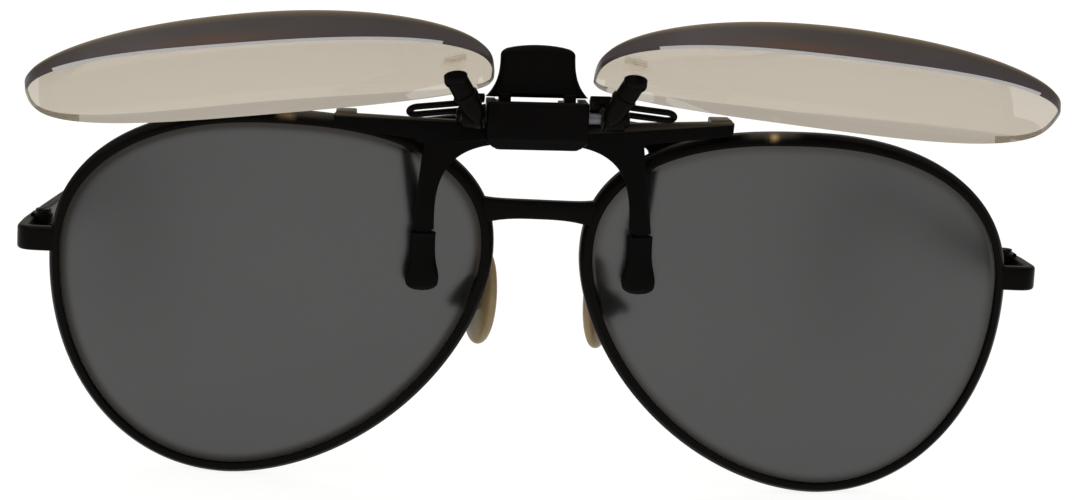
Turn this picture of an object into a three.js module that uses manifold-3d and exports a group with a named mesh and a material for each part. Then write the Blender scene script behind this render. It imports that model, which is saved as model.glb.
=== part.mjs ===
// Flip-up magnifiers: a sprung clip with two rimless magnifying lenses on a flip axle,
// gripping the rims of a pair of aviator spectacles. Millimetres, +Z up, front towards -Y.
import * as THREE from 'three';
import { mergeVertices } from 'three/addons/utils/BufferGeometryUtils.js';
import Module from 'manifold-3d';

const wasm = await Module();
wasm.setup();

// Clearances
const SEAT_GAP = 0.3;          // between a piece and the curved or turned piece that it seats on
const FACE_GAP = 0.1;          // between two flat faces that are fastened together
const TURN_GAP = 0.15;         // round a pin in its bore, and between turning faces

// Spectacle front: boxed lens size, gap at the nose and how the front is bent
const EYE_WIDTH = 58;          // lens box, measured to the tip of the bevel
const EYE_HEIGHT = 49.6;
const EYE_GAP = 14.7;          // between the two lens boxes
const EYE_TOP_SHIFT = -1.8;    // highest point, from the box centre towards the temple
const EYE_TEMPLE_RISE = 3.8;   // outermost point, above the box centre
const EYE_FOOT_SHIFT = 6.1;    // lowest point, towards the temple
const EYE_NOSE_RISE = 8;     // innermost point, above the box centre
const EYE_FULLNESS = [2.21, 2.35, 1.75, 2.13];
const WRAP_ANGLE = 5.7 * Math.PI / 180;
const LEAN_ANGLE = 8 * Math.PI / 180;
const BASE_CURVE_RADIUS = 90;  // sphere that rims and sun lenses follow
const SUN_LENS_THICKNESS = 2;
const BEVEL_DEPTH = 0.6;

// Eyewire, bridge and nose pads
const RIM_WIDTH = 1.65;
const RIM_DEPTH = 2.4;
const RIM_LIP = 0.3;           // how far the rim reaches in over the lens bevel
const BRIDGE_RISE = 14;        // middle of the bar above the box centre
const BRIDGE_HEIGHT = 2.6;
const BRIDGE_DEPTH = 2.2;
const BRIDGE_FLARE = 0.9;      // extra height of the bar where it meets a rim
const PAD_SPREAD_LEFT = 6.9;   // pad centre from the middle; the pads are bent unevenly
const PAD_SPREAD_RIGHT = 9.2;
const PAD_SETBACK = 6.4;       // pad centre behind the rim
const PAD_RISE = 0.4;
const PAD_LENGTH = 13.5;
const PAD_WIDTH = 7.2;
const PAD_THICKNESS = 2.6;
const PAD_SPLAY = 62 * Math.PI / 180;   // pad face turned from facing back to facing the nose
const PAD_LEAN = 20 * Math.PI / 180;    // pad foot leaning outwards
const PAD_WIRE_RADIUS = 0.55;
const PAD_BOX = 1.5;           // half the height of the metal box on a pad's back, and its depth
const PAD_BOX_WIDTH = 2.4;
const TONGUE_WIDTH = 0.9;      // tongue on the pad's back that rocks in the box
const TONGUE_HEIGHT = 1.8;
const TONGUE_ROOM = 0.25;      // slot wider than the tongue, on each side
const TONGUE_REACH = 1.2;      // tongue beyond the pad's back
const PAD_EGG = 0.14;          // how much narrower the pad's top is than its foot

// Endpieces and temples
const HINGE_RISE = 5.6;        // hinge middle above the box centre
const HINGE_SETBACK = 9.5;     // hinge axis behind the rim's outermost point
const HINGE_HEIGHT = 4.2;
const KNUCKLE_RADIUS = 1.35;
const HINGE_SCREW_RADIUS = 0.6;
const ENDPIECE_REACH = 4.6;    // outside of the endpiece beyond the rim
const ENDPIECE_THICKNESS = 1.7;
const ENDPIECE_HEIGHT = 3.4;
const ENDPIECE_TURN = 2.2;     // length of the corner's bend on each side
const HINGE_INSET = 0.9;       // hinge axis inside the endpiece's inner face
const TEMPLE_LENGTH = 96;      // hinge to ear bend
const TEMPLE_INSET = 5;        // how much closer to the middle the ear bend lies
const EAR_LENGTH = 38.9;         // ear bend to tip
const EAR_ANGLE = 53 * Math.PI / 180;
const EAR_BEND = 11;           // length of the bend on each side of its corner
const TEMPLE_THICKNESS = 1.5;
const TEMPLE_HEIGHT = 3.4;
const EAR_CORE_SIZE = 1.5;
const TIP_COVER = 26;          // length of the plastic tip in front of the ear bend
const TIP_WIDTH = 3.3;
const TIP_HEIGHT = 5.8;
const TIP_MOUTH_WIDTH = 2.4;
const TIP_MOUTH_HEIGHT = 2.6;

// Clip: housing, axle and jaws
const AXLE_RADIUS = 0.8;
const AXLE_HEAD_RADIUS = 1.2;
const AXLE_HEAD_LENGTH = 0.6;
const AXLE_ABOVE_RIM = 1.1;    // axle above the tops of the rims
const CLIP_SHIFT = -1.4;       // clip pushed on to one side of the middle
const CLIP_TILT = -1.2 * Math.PI / 180; // and a little askew on the rims
const HOUSING_WIDTH = 13.4;
const HOUSING_DEPTH = 6.2;
const HOUSING_ABOVE_AXLE = 2.2;
const HOUSING_BELOW_AXLE = 4.2;
const HOUSING_WALL = 1.2;
const HOUSING_FLOOR = 2.1;
const HOUSING_CHAMFER = 1.5;
const HOUSING_CORNER = 1.1;
const HOUSING_SCREW_RADIUS = 0.55;
const JAW_THICKNESS = 1.8;
const JAW_REACH = 26.8;        // bar end from the middle
const BAR_TOP_DROP = 1.1;      // top of the front bar below the axle, next to the housing
const BAR_END_RISE = 0.75;      // how much higher the bar's outer end is
const BAR_END_HEIGHT = 2;
const BAR_ROOT_HEIGHT = 2.6;
const SHELF_LENGTH = 2.8;      // lug on a bar end that sits over the rim
const SHELF_RISE = 0.2;
const SHELF_DROP = 2;        // foot of the lug below the bar's top, cut back by the rim
const PRONG_SPREAD = 14.6;
const PRONG_WIDTH = 2.9;
const PRONG_LEAN = 1.3;        // outer edge of a front prong nearer the middle at its root than at its sleeve
const FILLET_DROP = 4.5;       // pull of the web's curve down the inner edge of a front prong
const FILLET_REACH = 4.4;      // pull of that curve sideways, out from the web
const FILLET_SAG = 0.8;        // dip of that curve under the web
const PRONG_DROP = 24.1;         // tip of the sleeve below the axle
const SLEEVE_LENGTH = 8.2;
const SLEEVE_WALL = 0.5;
const SLEEVE_BULB = 4.5;
const REAR_PRONG_OUTSIDE = 17.65; // outer edge of a rear prong at its root
const REAR_PRONG_ROOT = 1.4;   // width of a rear prong at its root
const REAR_ROOT_HEIGHT = 4.9;  // height of the rear jaw's bar beside the prong
const LEG_INSIDE = 3.5;        // inner side of the rear jaw's legs, which leaves the slot under the tab
const LEG_WIDTH = 1.6;
const TAB_HEIGHT = 6.9;
const TAB_TOP_WIDTH = 9.9;
const TAB_FOOT_WIDTH = 13.6;
const TAB_THICKNESS = 1.8;
const TAB_ARCH = 0.4;          // height of the arch in the tab's foot between the legs
const LUG_RADIUS = 1.6;        // round the axle on the rear jaw's legs
const ARM_TOP = 1.2;           // top of the rear jaw's arms above the axle
const ARM_ABOVE_BAR = 0.45;
const REAR_REACH = 20.8;       // end of the rear jaw's short bar from the middle
const REAR_TOP = -0.1;         // top of the rear jaw's cross web from the axle
const REAR_TIP_OUT = 0.4;      // rear sleeve further out than the front one
const SPRING_TURNS = 6;
const SPRING_WIRE_RADIUS = 0.22;
const SPRING_PITCH = 0.9;

// Flip lenses and their brackets, drawn with the lenses hanging down
const FLIP_ANGLE = 116.5 * Math.PI / 180; // from hanging to the raised place
const FLIP_SLIDE = 0.8;        // flip unit along its axle, from the middle of the housing
const FLIP_LENS_WIDTH = 60;
const FLIP_LENS_HEIGHT = 25.2;
const FLIP_LENS_GAP = 13.1;
const FLIP_LENS_TOP_SHIFT = 1.7;
const FLIP_LENS_TEMPLE_RISE = -1.2;
const FLIP_LENS_FOOT_SHIFT = 7.4;
const FLIP_LENS_NOSE_RISE = 6.3;
const FLIP_LENS_FULLNESS = [2.97, 2.92, 2.7, 2.53];
const FLIP_LENS_ABOVE_AXLE = 4.45;
const FLIP_LENS_STANDOFF = 4.5; // back of the lens in front of the axle
const FLIP_LENS_THICKNESS = 4.85;
const FLIP_LENS_RADIUS = 135;
const FLIP_WRAP = 6.6 * Math.PI / 180;
const WASHER_THICKNESS = 0.4;
const BRACKET_WIDTH = 2.7;
const BRACKET_RADIUS = 1.7;
const STUD_RADIUS = 1.45;
const LENS_LUG = 0.9;          // half the height of the lug behind the lens, and its width on the knuckle
const LENS_LUG_REACH = 0.8;    // lug from the ear towards the lens
const STUD_COLLAR = 0.25;
const LENS_SCREW_IN = 5.3;     // screw from the lens's innermost point
const LENS_SCREW_DROP = 5.4;   // screw below the axle
const LENS_SCREW_RADIUS = 0.7;
const LENS_SCREW_HEAD = 1.5;
const LENS_SEAT_DEPTH = 0.3;   // counterbore for the washer, into the lens's face
const BOSS_HEIGHT = 0.5;       // boss on the stud's end, behind the lens
const SCREW_BEYOND_BOSS = 0.9;
const LENS_EDGE_BEVEL = 0.25;
const REST_LENGTH = 6.8;       // wire loop beyond its bracket
const REST_WIDTH = 2.1;
const REST_RISE = 0.5;         // lower leg of the loop above the axle
const REST_SETBACK = 2.2;      // loop behind the back of the lens
const REST_WIRE_RADIUS = 0.42;

// Counts of facets
const EYE_STEPS = 60;
const FLIP_LENS_STEPS = 52;
const ROUND_SIDES = 12;
const TEMPLE_STEPS = 16;

const v3 = (x, y, z) => new THREE.Vector3(x, y, z);

// Finishes
function finish(color, roughness, metalness) {
  return new THREE.MeshStandardMaterial({ color, roughness, metalness });
}
const blackMetal = () => finish(0x141312, 0.45, 0.6);
const blackPlastic = () => finish(0x161514, 0.5, 0);
const steel = () => finish(0xb9bcc0, 0.3, 1);
const rubber = () => finish(0x0f0f0f, 0.8, 0);
const sunGrey = () => finish(0x535353, 0.15, 0);
const clearLens = () => finish(0xbfb8ad, 0.08, 0);
const clearNylon = () => finish(0xd6d0c6, 0.3, 0);
const padSilicone = () => finish(0xcfc3b0, 0.4, 0);

// Six times the volume inside a triangle list, negative when it is inside out
function signedVolume(points, faces) {
  let volume = 0;
  for (let i = 0; i < faces.length; i += 3) {
    const [a, b, c] = [points[faces[i]], points[faces[i + 1]], points[faces[i + 2]]];
    volume += a.dot(v3().crossVectors(b, c));
  }
  return volume;
}

// A closed skin through rings of equal count; a loft that doesn't loop gets a fan on each end
function loft(rings, loop = false) {
  const count = rings[0].length;
  const points = rings.flat();
  const faces = [];
  const bands = loop ? rings.length : rings.length - 1;
  for (let i = 0; i < bands; i++) {
    const a = i * count;
    const b = ((i + 1) % rings.length) * count;
    for (let j = 0; j < count; j++) {
      const k = (j + 1) % count;
      faces.push(a + j, a + k, b + k, a + j, b + k, b + j);
    }
  }
  if (!loop) {
    for (const end of [0, rings.length - 1]) {
      const middle = rings[end].reduce((sum, p) => sum.add(p), v3()).divideScalar(count);
      points.push(middle);
      for (let j = 0; j < count; j++) {
        const k = (j + 1) % count;
        const pair = end === 0 ? [k, j] : [j, k];
        faces.push(points.length - 1, end * count + pair[0], end * count + pair[1]);
      }
    }
  }
  if (signedVolume(points, faces) < 0) faces.reverse();
  const geometry = new THREE.BufferGeometry().setFromPoints(points);
  geometry.setIndex(faces);
  return geometry;
}

// A round ring of points about a centre, square to an axis
function circle(centre, axis, radius, sides = ROUND_SIDES) {
  const along = axis.clone().normalize();
  const helper = Math.abs(along.z) < 0.9 ? v3(0, 0, 1) : v3(1, 0, 0);
  const across = v3().crossVectors(along, helper).normalize();
  const up = v3().crossVectors(along, across);
  return Array.from({ length: sides }, (_, i) => {
    const angle = 2 * Math.PI * i / sides;
    const [a, b] = [radius * Math.cos(angle), radius * Math.sin(angle)];
    return centre.clone().addScaledVector(across, a).addScaledVector(up, b);
  });
}

// A turned piece: pairs of [distance along the axis, radius] from a foot point
function turned(foot, axis, profile, sides = ROUND_SIDES) {
  const along = axis.clone().normalize();
  const ring = ([at, radius]) => circle(foot.clone().addScaledVector(along, at), along, radius, sides);
  return loft(profile.map(ring));
}

// A wire or tube carried along points, its section kept from twisting
function sweep(points, radius, sides) {
  let across = null;
  const rings = points.map((point, i) => {
    const before = points[Math.max(i - 1, 0)];
    const after = points[Math.min(i + 1, points.length - 1)];
    const along = after.clone().sub(before).normalize();
    if (!across) across = Math.abs(along.x) < 0.9 ? v3(1, 0, 0) : v3(0, 0, 1);
    across = across.clone().addScaledVector(along, -across.dot(along)).normalize();
    const up = v3().crossVectors(along, across);
    return Array.from({ length: sides }, (_, j) => {
      const angle = 2 * Math.PI * j / sides;
      const [a, b] = [radius * Math.cos(angle), radius * Math.sin(angle)];
      return point.clone().addScaledVector(across, a).addScaledVector(up, b);
    });
  });
  return loft(rings);
}

// Geometry to solid and back, for joins and cuts
function solid(geometry) {
  const bare = geometry.clone();
  bare.deleteAttribute('normal');
  bare.deleteAttribute('uv');
  const merged = mergeVertices(bare, 1e-5);
  return new wasm.Manifold(new wasm.Mesh({
    numProp: 3,
    vertProperties: Float32Array.from(merged.attributes.position.array),
    triVerts: Uint32Array.from(merged.index.array),
  }));
}

function geometryOf(body) {
  const mesh = body.getMesh();
  const geometry = new THREE.BufferGeometry();
  geometry.setAttribute('position', new THREE.BufferAttribute(Float32Array.from(mesh.vertProperties), 3));
  geometry.setIndex(Array.from(mesh.triVerts));
  return geometry;
}

const joined = (...pieces) => pieces.map(solid).reduce((sum, piece) => sum.add(piece));
const cut = (body, ...tools) => tools.map(solid).reduce((rest, tool) => rest.subtract(tool), body);

function block(low, high) {
  const size = v3().subVectors(high, low);
  const middle = v3().addVectors(low, high).multiplyScalar(0.5);
  return new THREE.BoxGeometry(size.x, size.y, size.z).translate(middle.x, middle.y, middle.z);
}

function part(name, geometry, material) {
  const mesh = new THREE.Mesh(geometry, material);
  mesh.name = name;
  geometry.computeVertexNormals();
  return mesh;
}

const sides = [['left', -1], ['right', 1]];

// A lens outline: four superellipse quadrants between its highest, outermost, lowest and innermost
// points. Gives [towards the temple, up] from the box centre, grown outwards by an even margin.
function outline(shape, steps, margin = 0) {
  const { width, height, topShift, templeRise, footShift, noseRise, fullness } = shape;
  const quadrants = [
    { centre: [topShift, templeRise], reach: [width / 2 - topShift, height / 2 - templeRise], from: 0 },
    { centre: [topShift, noseRise], reach: [width / 2 + topShift, height / 2 - noseRise], from: 1 },
    { centre: [footShift, noseRise], reach: [width / 2 + footShift, height / 2 + noseRise], from: 2 },
    { centre: [footShift, templeRise], reach: [width / 2 - footShift, height / 2 + templeRise], from: 3 },
  ];
  const at = (turn) => {
    const part = Math.floor(turn * 4) % 4;
    const { centre, reach, from } = quadrants[part];
    const angle = 2 * Math.PI * turn;
    const power = 2 / fullness[from];
    const [c, s] = [Math.cos(angle), Math.sin(angle)];
    return new THREE.Vector2(
      centre[0] + reach[0] * Math.sign(c) * Math.abs(c) ** power,
      centre[1] + reach[1] * Math.sign(s) * Math.abs(s) ** power,
    );
  };
  const points = Array.from({ length: steps }, (_, i) => at((i + 0.5) / steps));
  return points.map((point, i) => {
    const along = points[(i + 1) % steps].clone().sub(points[(i + steps - 1) % steps]).normalize();
    return new THREE.Vector2(point.x + margin * along.y, point.y - margin * along.x);
  });
}

// Spectacle front
const eyeShape = {
  width: EYE_WIDTH,
  height: EYE_HEIGHT,
  topShift: EYE_TOP_SHIFT,
  templeRise: EYE_TEMPLE_RISE,
  footShift: EYE_FOOT_SHIFT,
  noseRise: EYE_NOSE_RISE,
  fullness: EYE_FULLNESS,
};
const rimMeanRadius = (EYE_WIDTH + EYE_HEIGHT) / 4;

// A point on the front: out towards the temple and up from a lens box centre, and back from the lens's
// middle surface, bent to the base curve, wrapped round the face and leaned forward at the top
function onFront(side, out, up, back = 0) {
  const sag = (out * out + up * up - rimMeanRadius ** 2) / (2 * BASE_CURVE_RADIUS);
  const fromNose = out + EYE_WIDTH / 2;
  const depth = sag + back;
  const x = EYE_GAP / 2 + fromNose * Math.cos(WRAP_ANGLE) - depth * Math.sin(WRAP_ANGLE);
  const y = fromNose * Math.sin(WRAP_ANGLE) + depth * Math.cos(WRAP_ANGLE);
  const point = v3(x, y, up).applyAxisAngle(v3(1, 0, 0), LEAN_ANGLE);
  point.x *= side;
  return point;
}

// The rim's section, [outwards, back], with its V groove for the lens bevel
function rimSection(grow = 0) {
  const half = RIM_DEPTH / 2 + grow;
  const outside = RIM_WIDTH - RIM_LIP + grow;
  const lip = -RIM_LIP - grow;
  const corner = RIM_DEPTH / 4;
  const lensHalf = SUN_LENS_THICKNESS / 2;
  const inside = grow > 0 ? [[lip, half]] : [[SEAT_GAP, 0], [lip, lensHalf], [lip + corner / 2, half]];
  const front = grow > 0 ? [[lip, -half]] : [[lip + corner / 2, -half], [lip, -lensHalf]];
  return [
    ...inside,
    [outside - corner, half], [outside, half - corner], [outside, corner - half], [outside - corner, -half],
    ...front,
  ];
}

function rim(side, grow = 0) {
  const ring = ([out, back]) => outline(eyeShape, EYE_STEPS, out).map((p) => onFront(side, p.x, p.y, back));
  return loft(rimSection(grow).map(ring), true);
}

function sunLens(side) {
  const half = SUN_LENS_THICKNESS / 2;
  const face = outline(eyeShape, EYE_STEPS, -BEVEL_DEPTH);
  const tip = outline(eyeShape, EYE_STEPS);
  const ring = (points, scale, back) => points.map((p) => onFront(side, p.x * scale, p.y * scale, back));
  return loft([
    ring(face, 0.35, -half), ring(face, 0.7, -half), ring(face, 1, -half),
    ring(tip, 1, 0),
    ring(face, 1, half), ring(face, 0.7, half), ring(face, 0.35, half),
  ]);
}

// The bar between the rims: straight along the top, arched below, its ends shaped to the rims
function bridge() {
  const steps = 10;
  const reach = EYE_GAP / 2 + RIM_LIP;
  const middle = onFront(1, -EYE_WIDTH / 2, BRIDGE_RISE);
  const rings = [];
  for (let i = 0; i <= steps; i++) {
    const share = 2 * i / steps - 1;
    const top = middle.z + BRIDGE_HEIGHT / 2;
    const foot = middle.z - BRIDGE_HEIGHT / 2 - BRIDGE_FLARE * Math.abs(share) ** 3;
    const edge = BRIDGE_DEPTH / 4;
    const [front, back] = [middle.y - BRIDGE_DEPTH / 2, middle.y + BRIDGE_DEPTH / 2];
    const section = [
      [front + edge, top], [back - edge, top], [back, top - edge], [back, foot + edge],
      [back - edge, foot], [front + edge, foot], [front, foot + edge], [front, top - edge],
    ];
    rings.push(section.map(([y, z]) => v3(share * reach, y, z)));
  }
  return geometryOf(cut(solid(loft(rings)), rim(-1, SEAT_GAP), rim(1, SEAT_GAP)));
}

// Nose pads: a soft oval pad facing the nose, on a bent wire from the back of the rim
function padFrame(side) {
  const anchor = onFront(side, -EYE_WIDTH / 2, PAD_RISE);
  const centre = v3(side < 0 ? -PAD_SPREAD_LEFT : PAD_SPREAD_RIGHT, anchor.y + PAD_SETBACK, anchor.z);
  const face = v3(-side * Math.sin(PAD_SPLAY), Math.cos(PAD_SPLAY), 0);
  const up = v3(-side * Math.sin(PAD_LEAN), 0, Math.cos(PAD_LEAN));
  up.addScaledVector(face, -up.dot(face)).normalize();
  return { centre, face, up, across: v3().crossVectors(up, face) };
}

// A bar along a pad's face direction, between two depths behind the pad's middle
function padBar(frame, width, height, near, far) {
  const ring = (depth) => [[-1, -1], [1, -1], [1, 1], [-1, 1]].map(([a, b]) => frame.centre.clone()
    .addScaledVector(frame.face, -depth)
    .addScaledVector(frame.across, a * width / 2)
    .addScaledVector(frame.up, b * height / 2));
  return loft([ring(near), ring(far)]);
}

function nosePad(side) {
  const frame = padFrame(side);
  const { centre, face, up, across } = frame;
  const half = PAD_THICKNESS / 2;
  const steps = 20;
  const layers = [[-half, 0.55], [-half * 0.75, 0.86], [0, 1], [half * 0.6, 0.88], [half, 0.5]];
  const oval = loft(layers.map(([depth, scale]) => Array.from({ length: steps }, (_, i) => {
    const angle = 2 * Math.PI * i / steps;
    const egg = 1 + PAD_EGG * Math.sin(angle);
    return centre.clone()
      .addScaledVector(across, scale * PAD_WIDTH / 2 * Math.cos(angle) * (2 - egg))
      .addScaledVector(up, scale * PAD_LENGTH / 2 * Math.sin(angle))
      .addScaledVector(face, depth);
  })));
  const tongue = padBar(frame, TONGUE_WIDTH, TONGUE_HEIGHT, half / 2, half + TONGUE_REACH);
  return geometryOf(joined(oval, tongue));
}

function padArm(side) {
  const frame = padFrame(side);
  const boxMouth = PAD_THICKNESS / 2 + SEAT_GAP;
  const slotEnd = PAD_THICKNESS / 2 + TONGUE_REACH + TONGUE_ROOM / 2;
  const box = padBar(frame, PAD_BOX_WIDTH, 2 * PAD_BOX, boxMouth, boxMouth + PAD_BOX);
  const slot = padBar(frame, TONGUE_WIDTH + 2 * TONGUE_ROOM, TONGUE_HEIGHT + 2 * TONGUE_ROOM, 0, slotEnd);
  const boxFoot = frame.centre.clone().addScaledVector(frame.face, -boxMouth - PAD_BOX);
  const foot = onFront(side, -EYE_WIDTH / 2, PAD_RISE + PAD_LENGTH / 4);
  const rimEdge = outline(eyeShape, EYE_STEPS).map((p) => onFront(side, p.x, p.y, RIM_DEPTH / 2));
  const weld = rimEdge.filter((p) => Math.abs(p.x) < EYE_WIDTH / 2)
    .reduce((best, p) => (Math.abs(p.z - foot.z) < Math.abs(best.z - foot.z) ? p : best));
  const route = new THREE.CatmullRomCurve3([
    weld.clone().add(v3(0, PAD_WIRE_RADIUS, 0)),
    weld.clone().add(v3(side * 1.2, 1.8, 0)),
    boxFoot.clone().add(v3(side * 1.4, 1.2, -0.6)),
    boxFoot.clone().addScaledVector(frame.face, PAD_BOX / 2),
  ]);
  const wire = sweep(route.getPoints(14), PAD_WIRE_RADIUS, 8);
  return geometryOf(cut(joined(box, wire), slot, rim(side, SEAT_GAP / 2)));
}

// Endpieces, temples and their three-knuckle hinges
const templePoint = onFront(1, EYE_WIDTH / 2, HINGE_RISE);
const rimSide = templePoint.x + RIM_WIDTH - RIM_LIP;
const barMiddle = rimSide + ENDPIECE_REACH - ENDPIECE_THICKNESS / 2;
const hingeSide = barMiddle - ENDPIECE_THICKNESS / 2 - HINGE_INSET;
const hingePlace = v3(hingeSide, templePoint.y + HINGE_SETBACK, templePoint.z);
const templeFront = hingePlace.y - KNUCKLE_RADIUS - TURN_GAP;

function knuckle(side, low, high, radius = KNUCKLE_RADIUS) {
  const foot = v3(side * hingePlace.x, hingePlace.y, hingePlace.z + low);
  return turned(foot, v3(0, 0, 1), [[0, radius], [high - low, radius]]);
}

// Heights of the three knuckles about the hinge middle
const knuckleStep = HINGE_HEIGHT / 3;
const lowerKnuckle = [-HINGE_HEIGHT / 2, -knuckleStep / 2 - TURN_GAP / 2];
const middleKnuckle = [-knuckleStep / 2 + TURN_GAP / 2, knuckleStep / 2 - TURN_GAP / 2];
const upperKnuckle = [knuckleStep / 2 + TURN_GAP / 2, HINGE_HEIGHT / 2];
const hingeBore = (side) => knuckle(side, -HINGE_HEIGHT, HINGE_HEIGHT, HINGE_SCREW_RADIUS + TURN_GAP);

function rectangle(centre, thickness, height, along) {
  const across = v3().crossVectors(along, v3(0, 0, 1)).normalize();
  const up = v3().crossVectors(across, along).normalize();
  const edge = Math.min(thickness, height) / 4;
  const [w, h] = [thickness / 2, height / 2];
  const corners = [
    [w - edge, h], [w, h - edge], [w, edge - h], [w - edge, -h],
    [edge - w, -h], [-w, edge - h], [-w, h - edge], [edge - w, h],
  ];
  return corners.map(([a, b]) => centre.clone().addScaledVector(across, a).addScaledVector(up, b));
}

function endpiece(side) {
  const start = v3(side * (templePoint.x + RIM_LIP), templePoint.y, templePoint.z);
  const elbow = v3(side * barMiddle, templePoint.y, templePoint.z);
  const end = v3(side * barMiddle, templeFront - TURN_GAP, templePoint.z);
  const path = new THREE.CurvePath();
  const beforeTurn = elbow.clone().add(v3(-side * ENDPIECE_TURN, 0, 0));
  const afterTurn = elbow.clone().add(v3(0, ENDPIECE_TURN, 0));
  path.add(new THREE.LineCurve3(start, beforeTurn));
  path.add(new THREE.QuadraticBezierCurve3(beforeTurn, elbow, afterTurn));
  path.add(new THREE.LineCurve3(afterTurn, end));
  const steps = 14;
  const rings = Array.from({ length: steps + 1 }, (_, i) => {
    const at = i / steps;
    return rectangle(path.getPoint(at), ENDPIECE_THICKNESS, ENDPIECE_HEIGHT, path.getTangent(at));
  });
  const bodyPiece = joined(loft(rings), knuckle(side, ...middleKnuckle), ...endpieceNeck(side));
  return geometryOf(cut(
    bodyPiece,
    rim(side, SEAT_GAP),
    knuckle(side, -HINGE_HEIGHT, middleKnuckle[0], KNUCKLE_RADIUS + TURN_GAP),
    knuckle(side, middleKnuckle[1], HINGE_HEIGHT, KNUCKLE_RADIUS + TURN_GAP),
    hingeBore(side),
  ));
}

// The neck that ties the endpiece's knuckle to the end of its bar, clear of the temple's front end
function endpieceNeck(side) {
  const barEnd = templeFront - TURN_GAP;
  const halfNeck = KNUCKLE_RADIUS * 0.6;
  const piece = (fromX, toX, fromY, toY) => block(
    v3(Math.min(side * fromX, side * toX), fromY, hingePlace.z + middleKnuckle[0]),
    v3(Math.max(side * fromX, side * toX), toY, hingePlace.z + middleKnuckle[1]),
  );
  const foot = piece(hingePlace.x - halfNeck, barMiddle, barEnd - KNUCKLE_RADIUS, barEnd);
  const neck = piece(hingePlace.x - halfNeck, hingePlace.x + halfNeck, barEnd - KNUCKLE_RADIUS, hingePlace.y);
  return [foot, neck];
}

// The web that ties one of the temple's knuckles to its bar
function templeWeb(side, [low, high]) {
  const [inner, outer] = [side * hingePlace.x, side * barMiddle];
  return block(
    v3(Math.min(inner, outer), hingePlace.y, hingePlace.z + low),
    v3(Math.max(inner, outer), hingePlace.y + KNUCKLE_RADIUS * 1.4, hingePlace.z + high),
  );
}

// The temple's middle line, straight back and then down behind the ear
function templePath(side) {
  const start = v3(side * barMiddle, templeFront, hingePlace.z);
  const bend = v3(side * (barMiddle - TEMPLE_INSET), hingePlace.y + TEMPLE_LENGTH, hingePlace.z);
  const drop = v3(0, Math.cos(EAR_ANGLE), -Math.sin(EAR_ANGLE));
  const tip = bend.clone().addScaledVector(drop, EAR_LENGTH);
  const beforeBend = bend.clone().addScaledVector(v3().subVectors(bend, start).normalize(), -EAR_BEND);
  const afterBend = bend.clone().addScaledVector(drop, EAR_BEND);
  const path = new THREE.CurvePath();
  path.add(new THREE.LineCurve3(start, beforeBend));
  path.add(new THREE.QuadraticBezierCurve3(beforeBend, bend, afterBend));
  path.add(new THREE.LineCurve3(afterBend, tip));
  return path;
}

// Shares of the temple's length: where the bar has thinned to its core and the tip starts, the core's
// end, and the stations from the tip's start on, which core and bore have in common
const templeRun = templePath(1).getLength();
const tipStart = (TEMPLE_LENGTH - TIP_COVER) / templeRun;
const coreEnd = 1 - TIP_HEIGHT / templeRun;
const coreStations = Array.from({ length: TEMPLE_STEPS + 1 }, (_, i) => {
  return tipStart + (coreEnd - tipStart) * i / TEMPLE_STEPS;
});

function templeRings(side, stations, size) {
  const path = templePath(side);
  return stations.map((at) => rectangle(path.getPointAt(at), ...size(at), path.getTangentAt(at)));
}

function barSize(at, grow = 0) {
  const share = Math.min(at / tipStart, 1) ** 1.5;
  const mix = (a, b) => a + (b - a) * share + 2 * grow;
  return [mix(TEMPLE_THICKNESS, EAR_CORE_SIZE), mix(TEMPLE_HEIGHT, EAR_CORE_SIZE)];
}

function temple(side) {
  const barStations = [0, 0.25, 0.5, 0.75].map((share) => share * tipStart);
  const bar = loft(templeRings(side, [...barStations, ...coreStations], (at) => barSize(at)));
  const bodyPiece = joined(
    bar,
    knuckle(side, ...lowerKnuckle), templeWeb(side, lowerKnuckle),
    knuckle(side, ...upperKnuckle), templeWeb(side, upperKnuckle),
  );
  return geometryOf(cut(
    bodyPiece,
    knuckle(side, lowerKnuckle[1], upperKnuckle[0], KNUCKLE_RADIUS + TURN_GAP),
    hingeBore(side),
  ));
}

// The plastic tip over the ear end, blind bored for the core, its foot cut flat where it rests
function templeTip(side, floor) {
  const size = (at) => {
    const share = (at - tipStart) / (1 - tipStart);
    const swell = Math.sin(Math.min(share * 1.15, 1) * Math.PI / 2);
    const end = share > 0.93 ? 0.72 : 1;
    return [
      end * (TIP_MOUTH_WIDTH + (TIP_WIDTH - TIP_MOUTH_WIDTH) * swell),
      end * (TIP_MOUTH_HEIGHT + (TIP_HEIGHT - TIP_MOUTH_HEIGHT) * swell),
    ];
  };
  const outside = loft(templeRings(side, [...coreStations, (coreEnd + 1) / 2, 1], size));
  const mouth = tipStart - TIP_HEIGHT / templeRun;
  const deep = coreEnd + SEAT_GAP / templeRun;
  const core = loft(templeRings(side, [mouth, ...coreStations, deep], (at) => barSize(at, TURN_GAP)));
  const under = block(v3(-templeRun, -templeRun, floor - templeRun), v3(templeRun, 2 * templeRun, floor));
  return geometryOf(cut(solid(outside), core, under));
}

function hingeScrew(side) {
  const foot = v3(side * hingePlace.x, hingePlace.y, hingePlace.z - HINGE_HEIGHT / 2);
  const head = HINGE_HEIGHT + TURN_GAP;
  return turned(foot, v3(0, 0, 1), [
    [0, HINGE_SCREW_RADIUS], [head, HINGE_SCREW_RADIUS],
    [head, KNUCKLE_RADIUS * 0.85], [head + 0.5, KNUCKLE_RADIUS * 0.6],
  ], 12);
}

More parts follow.
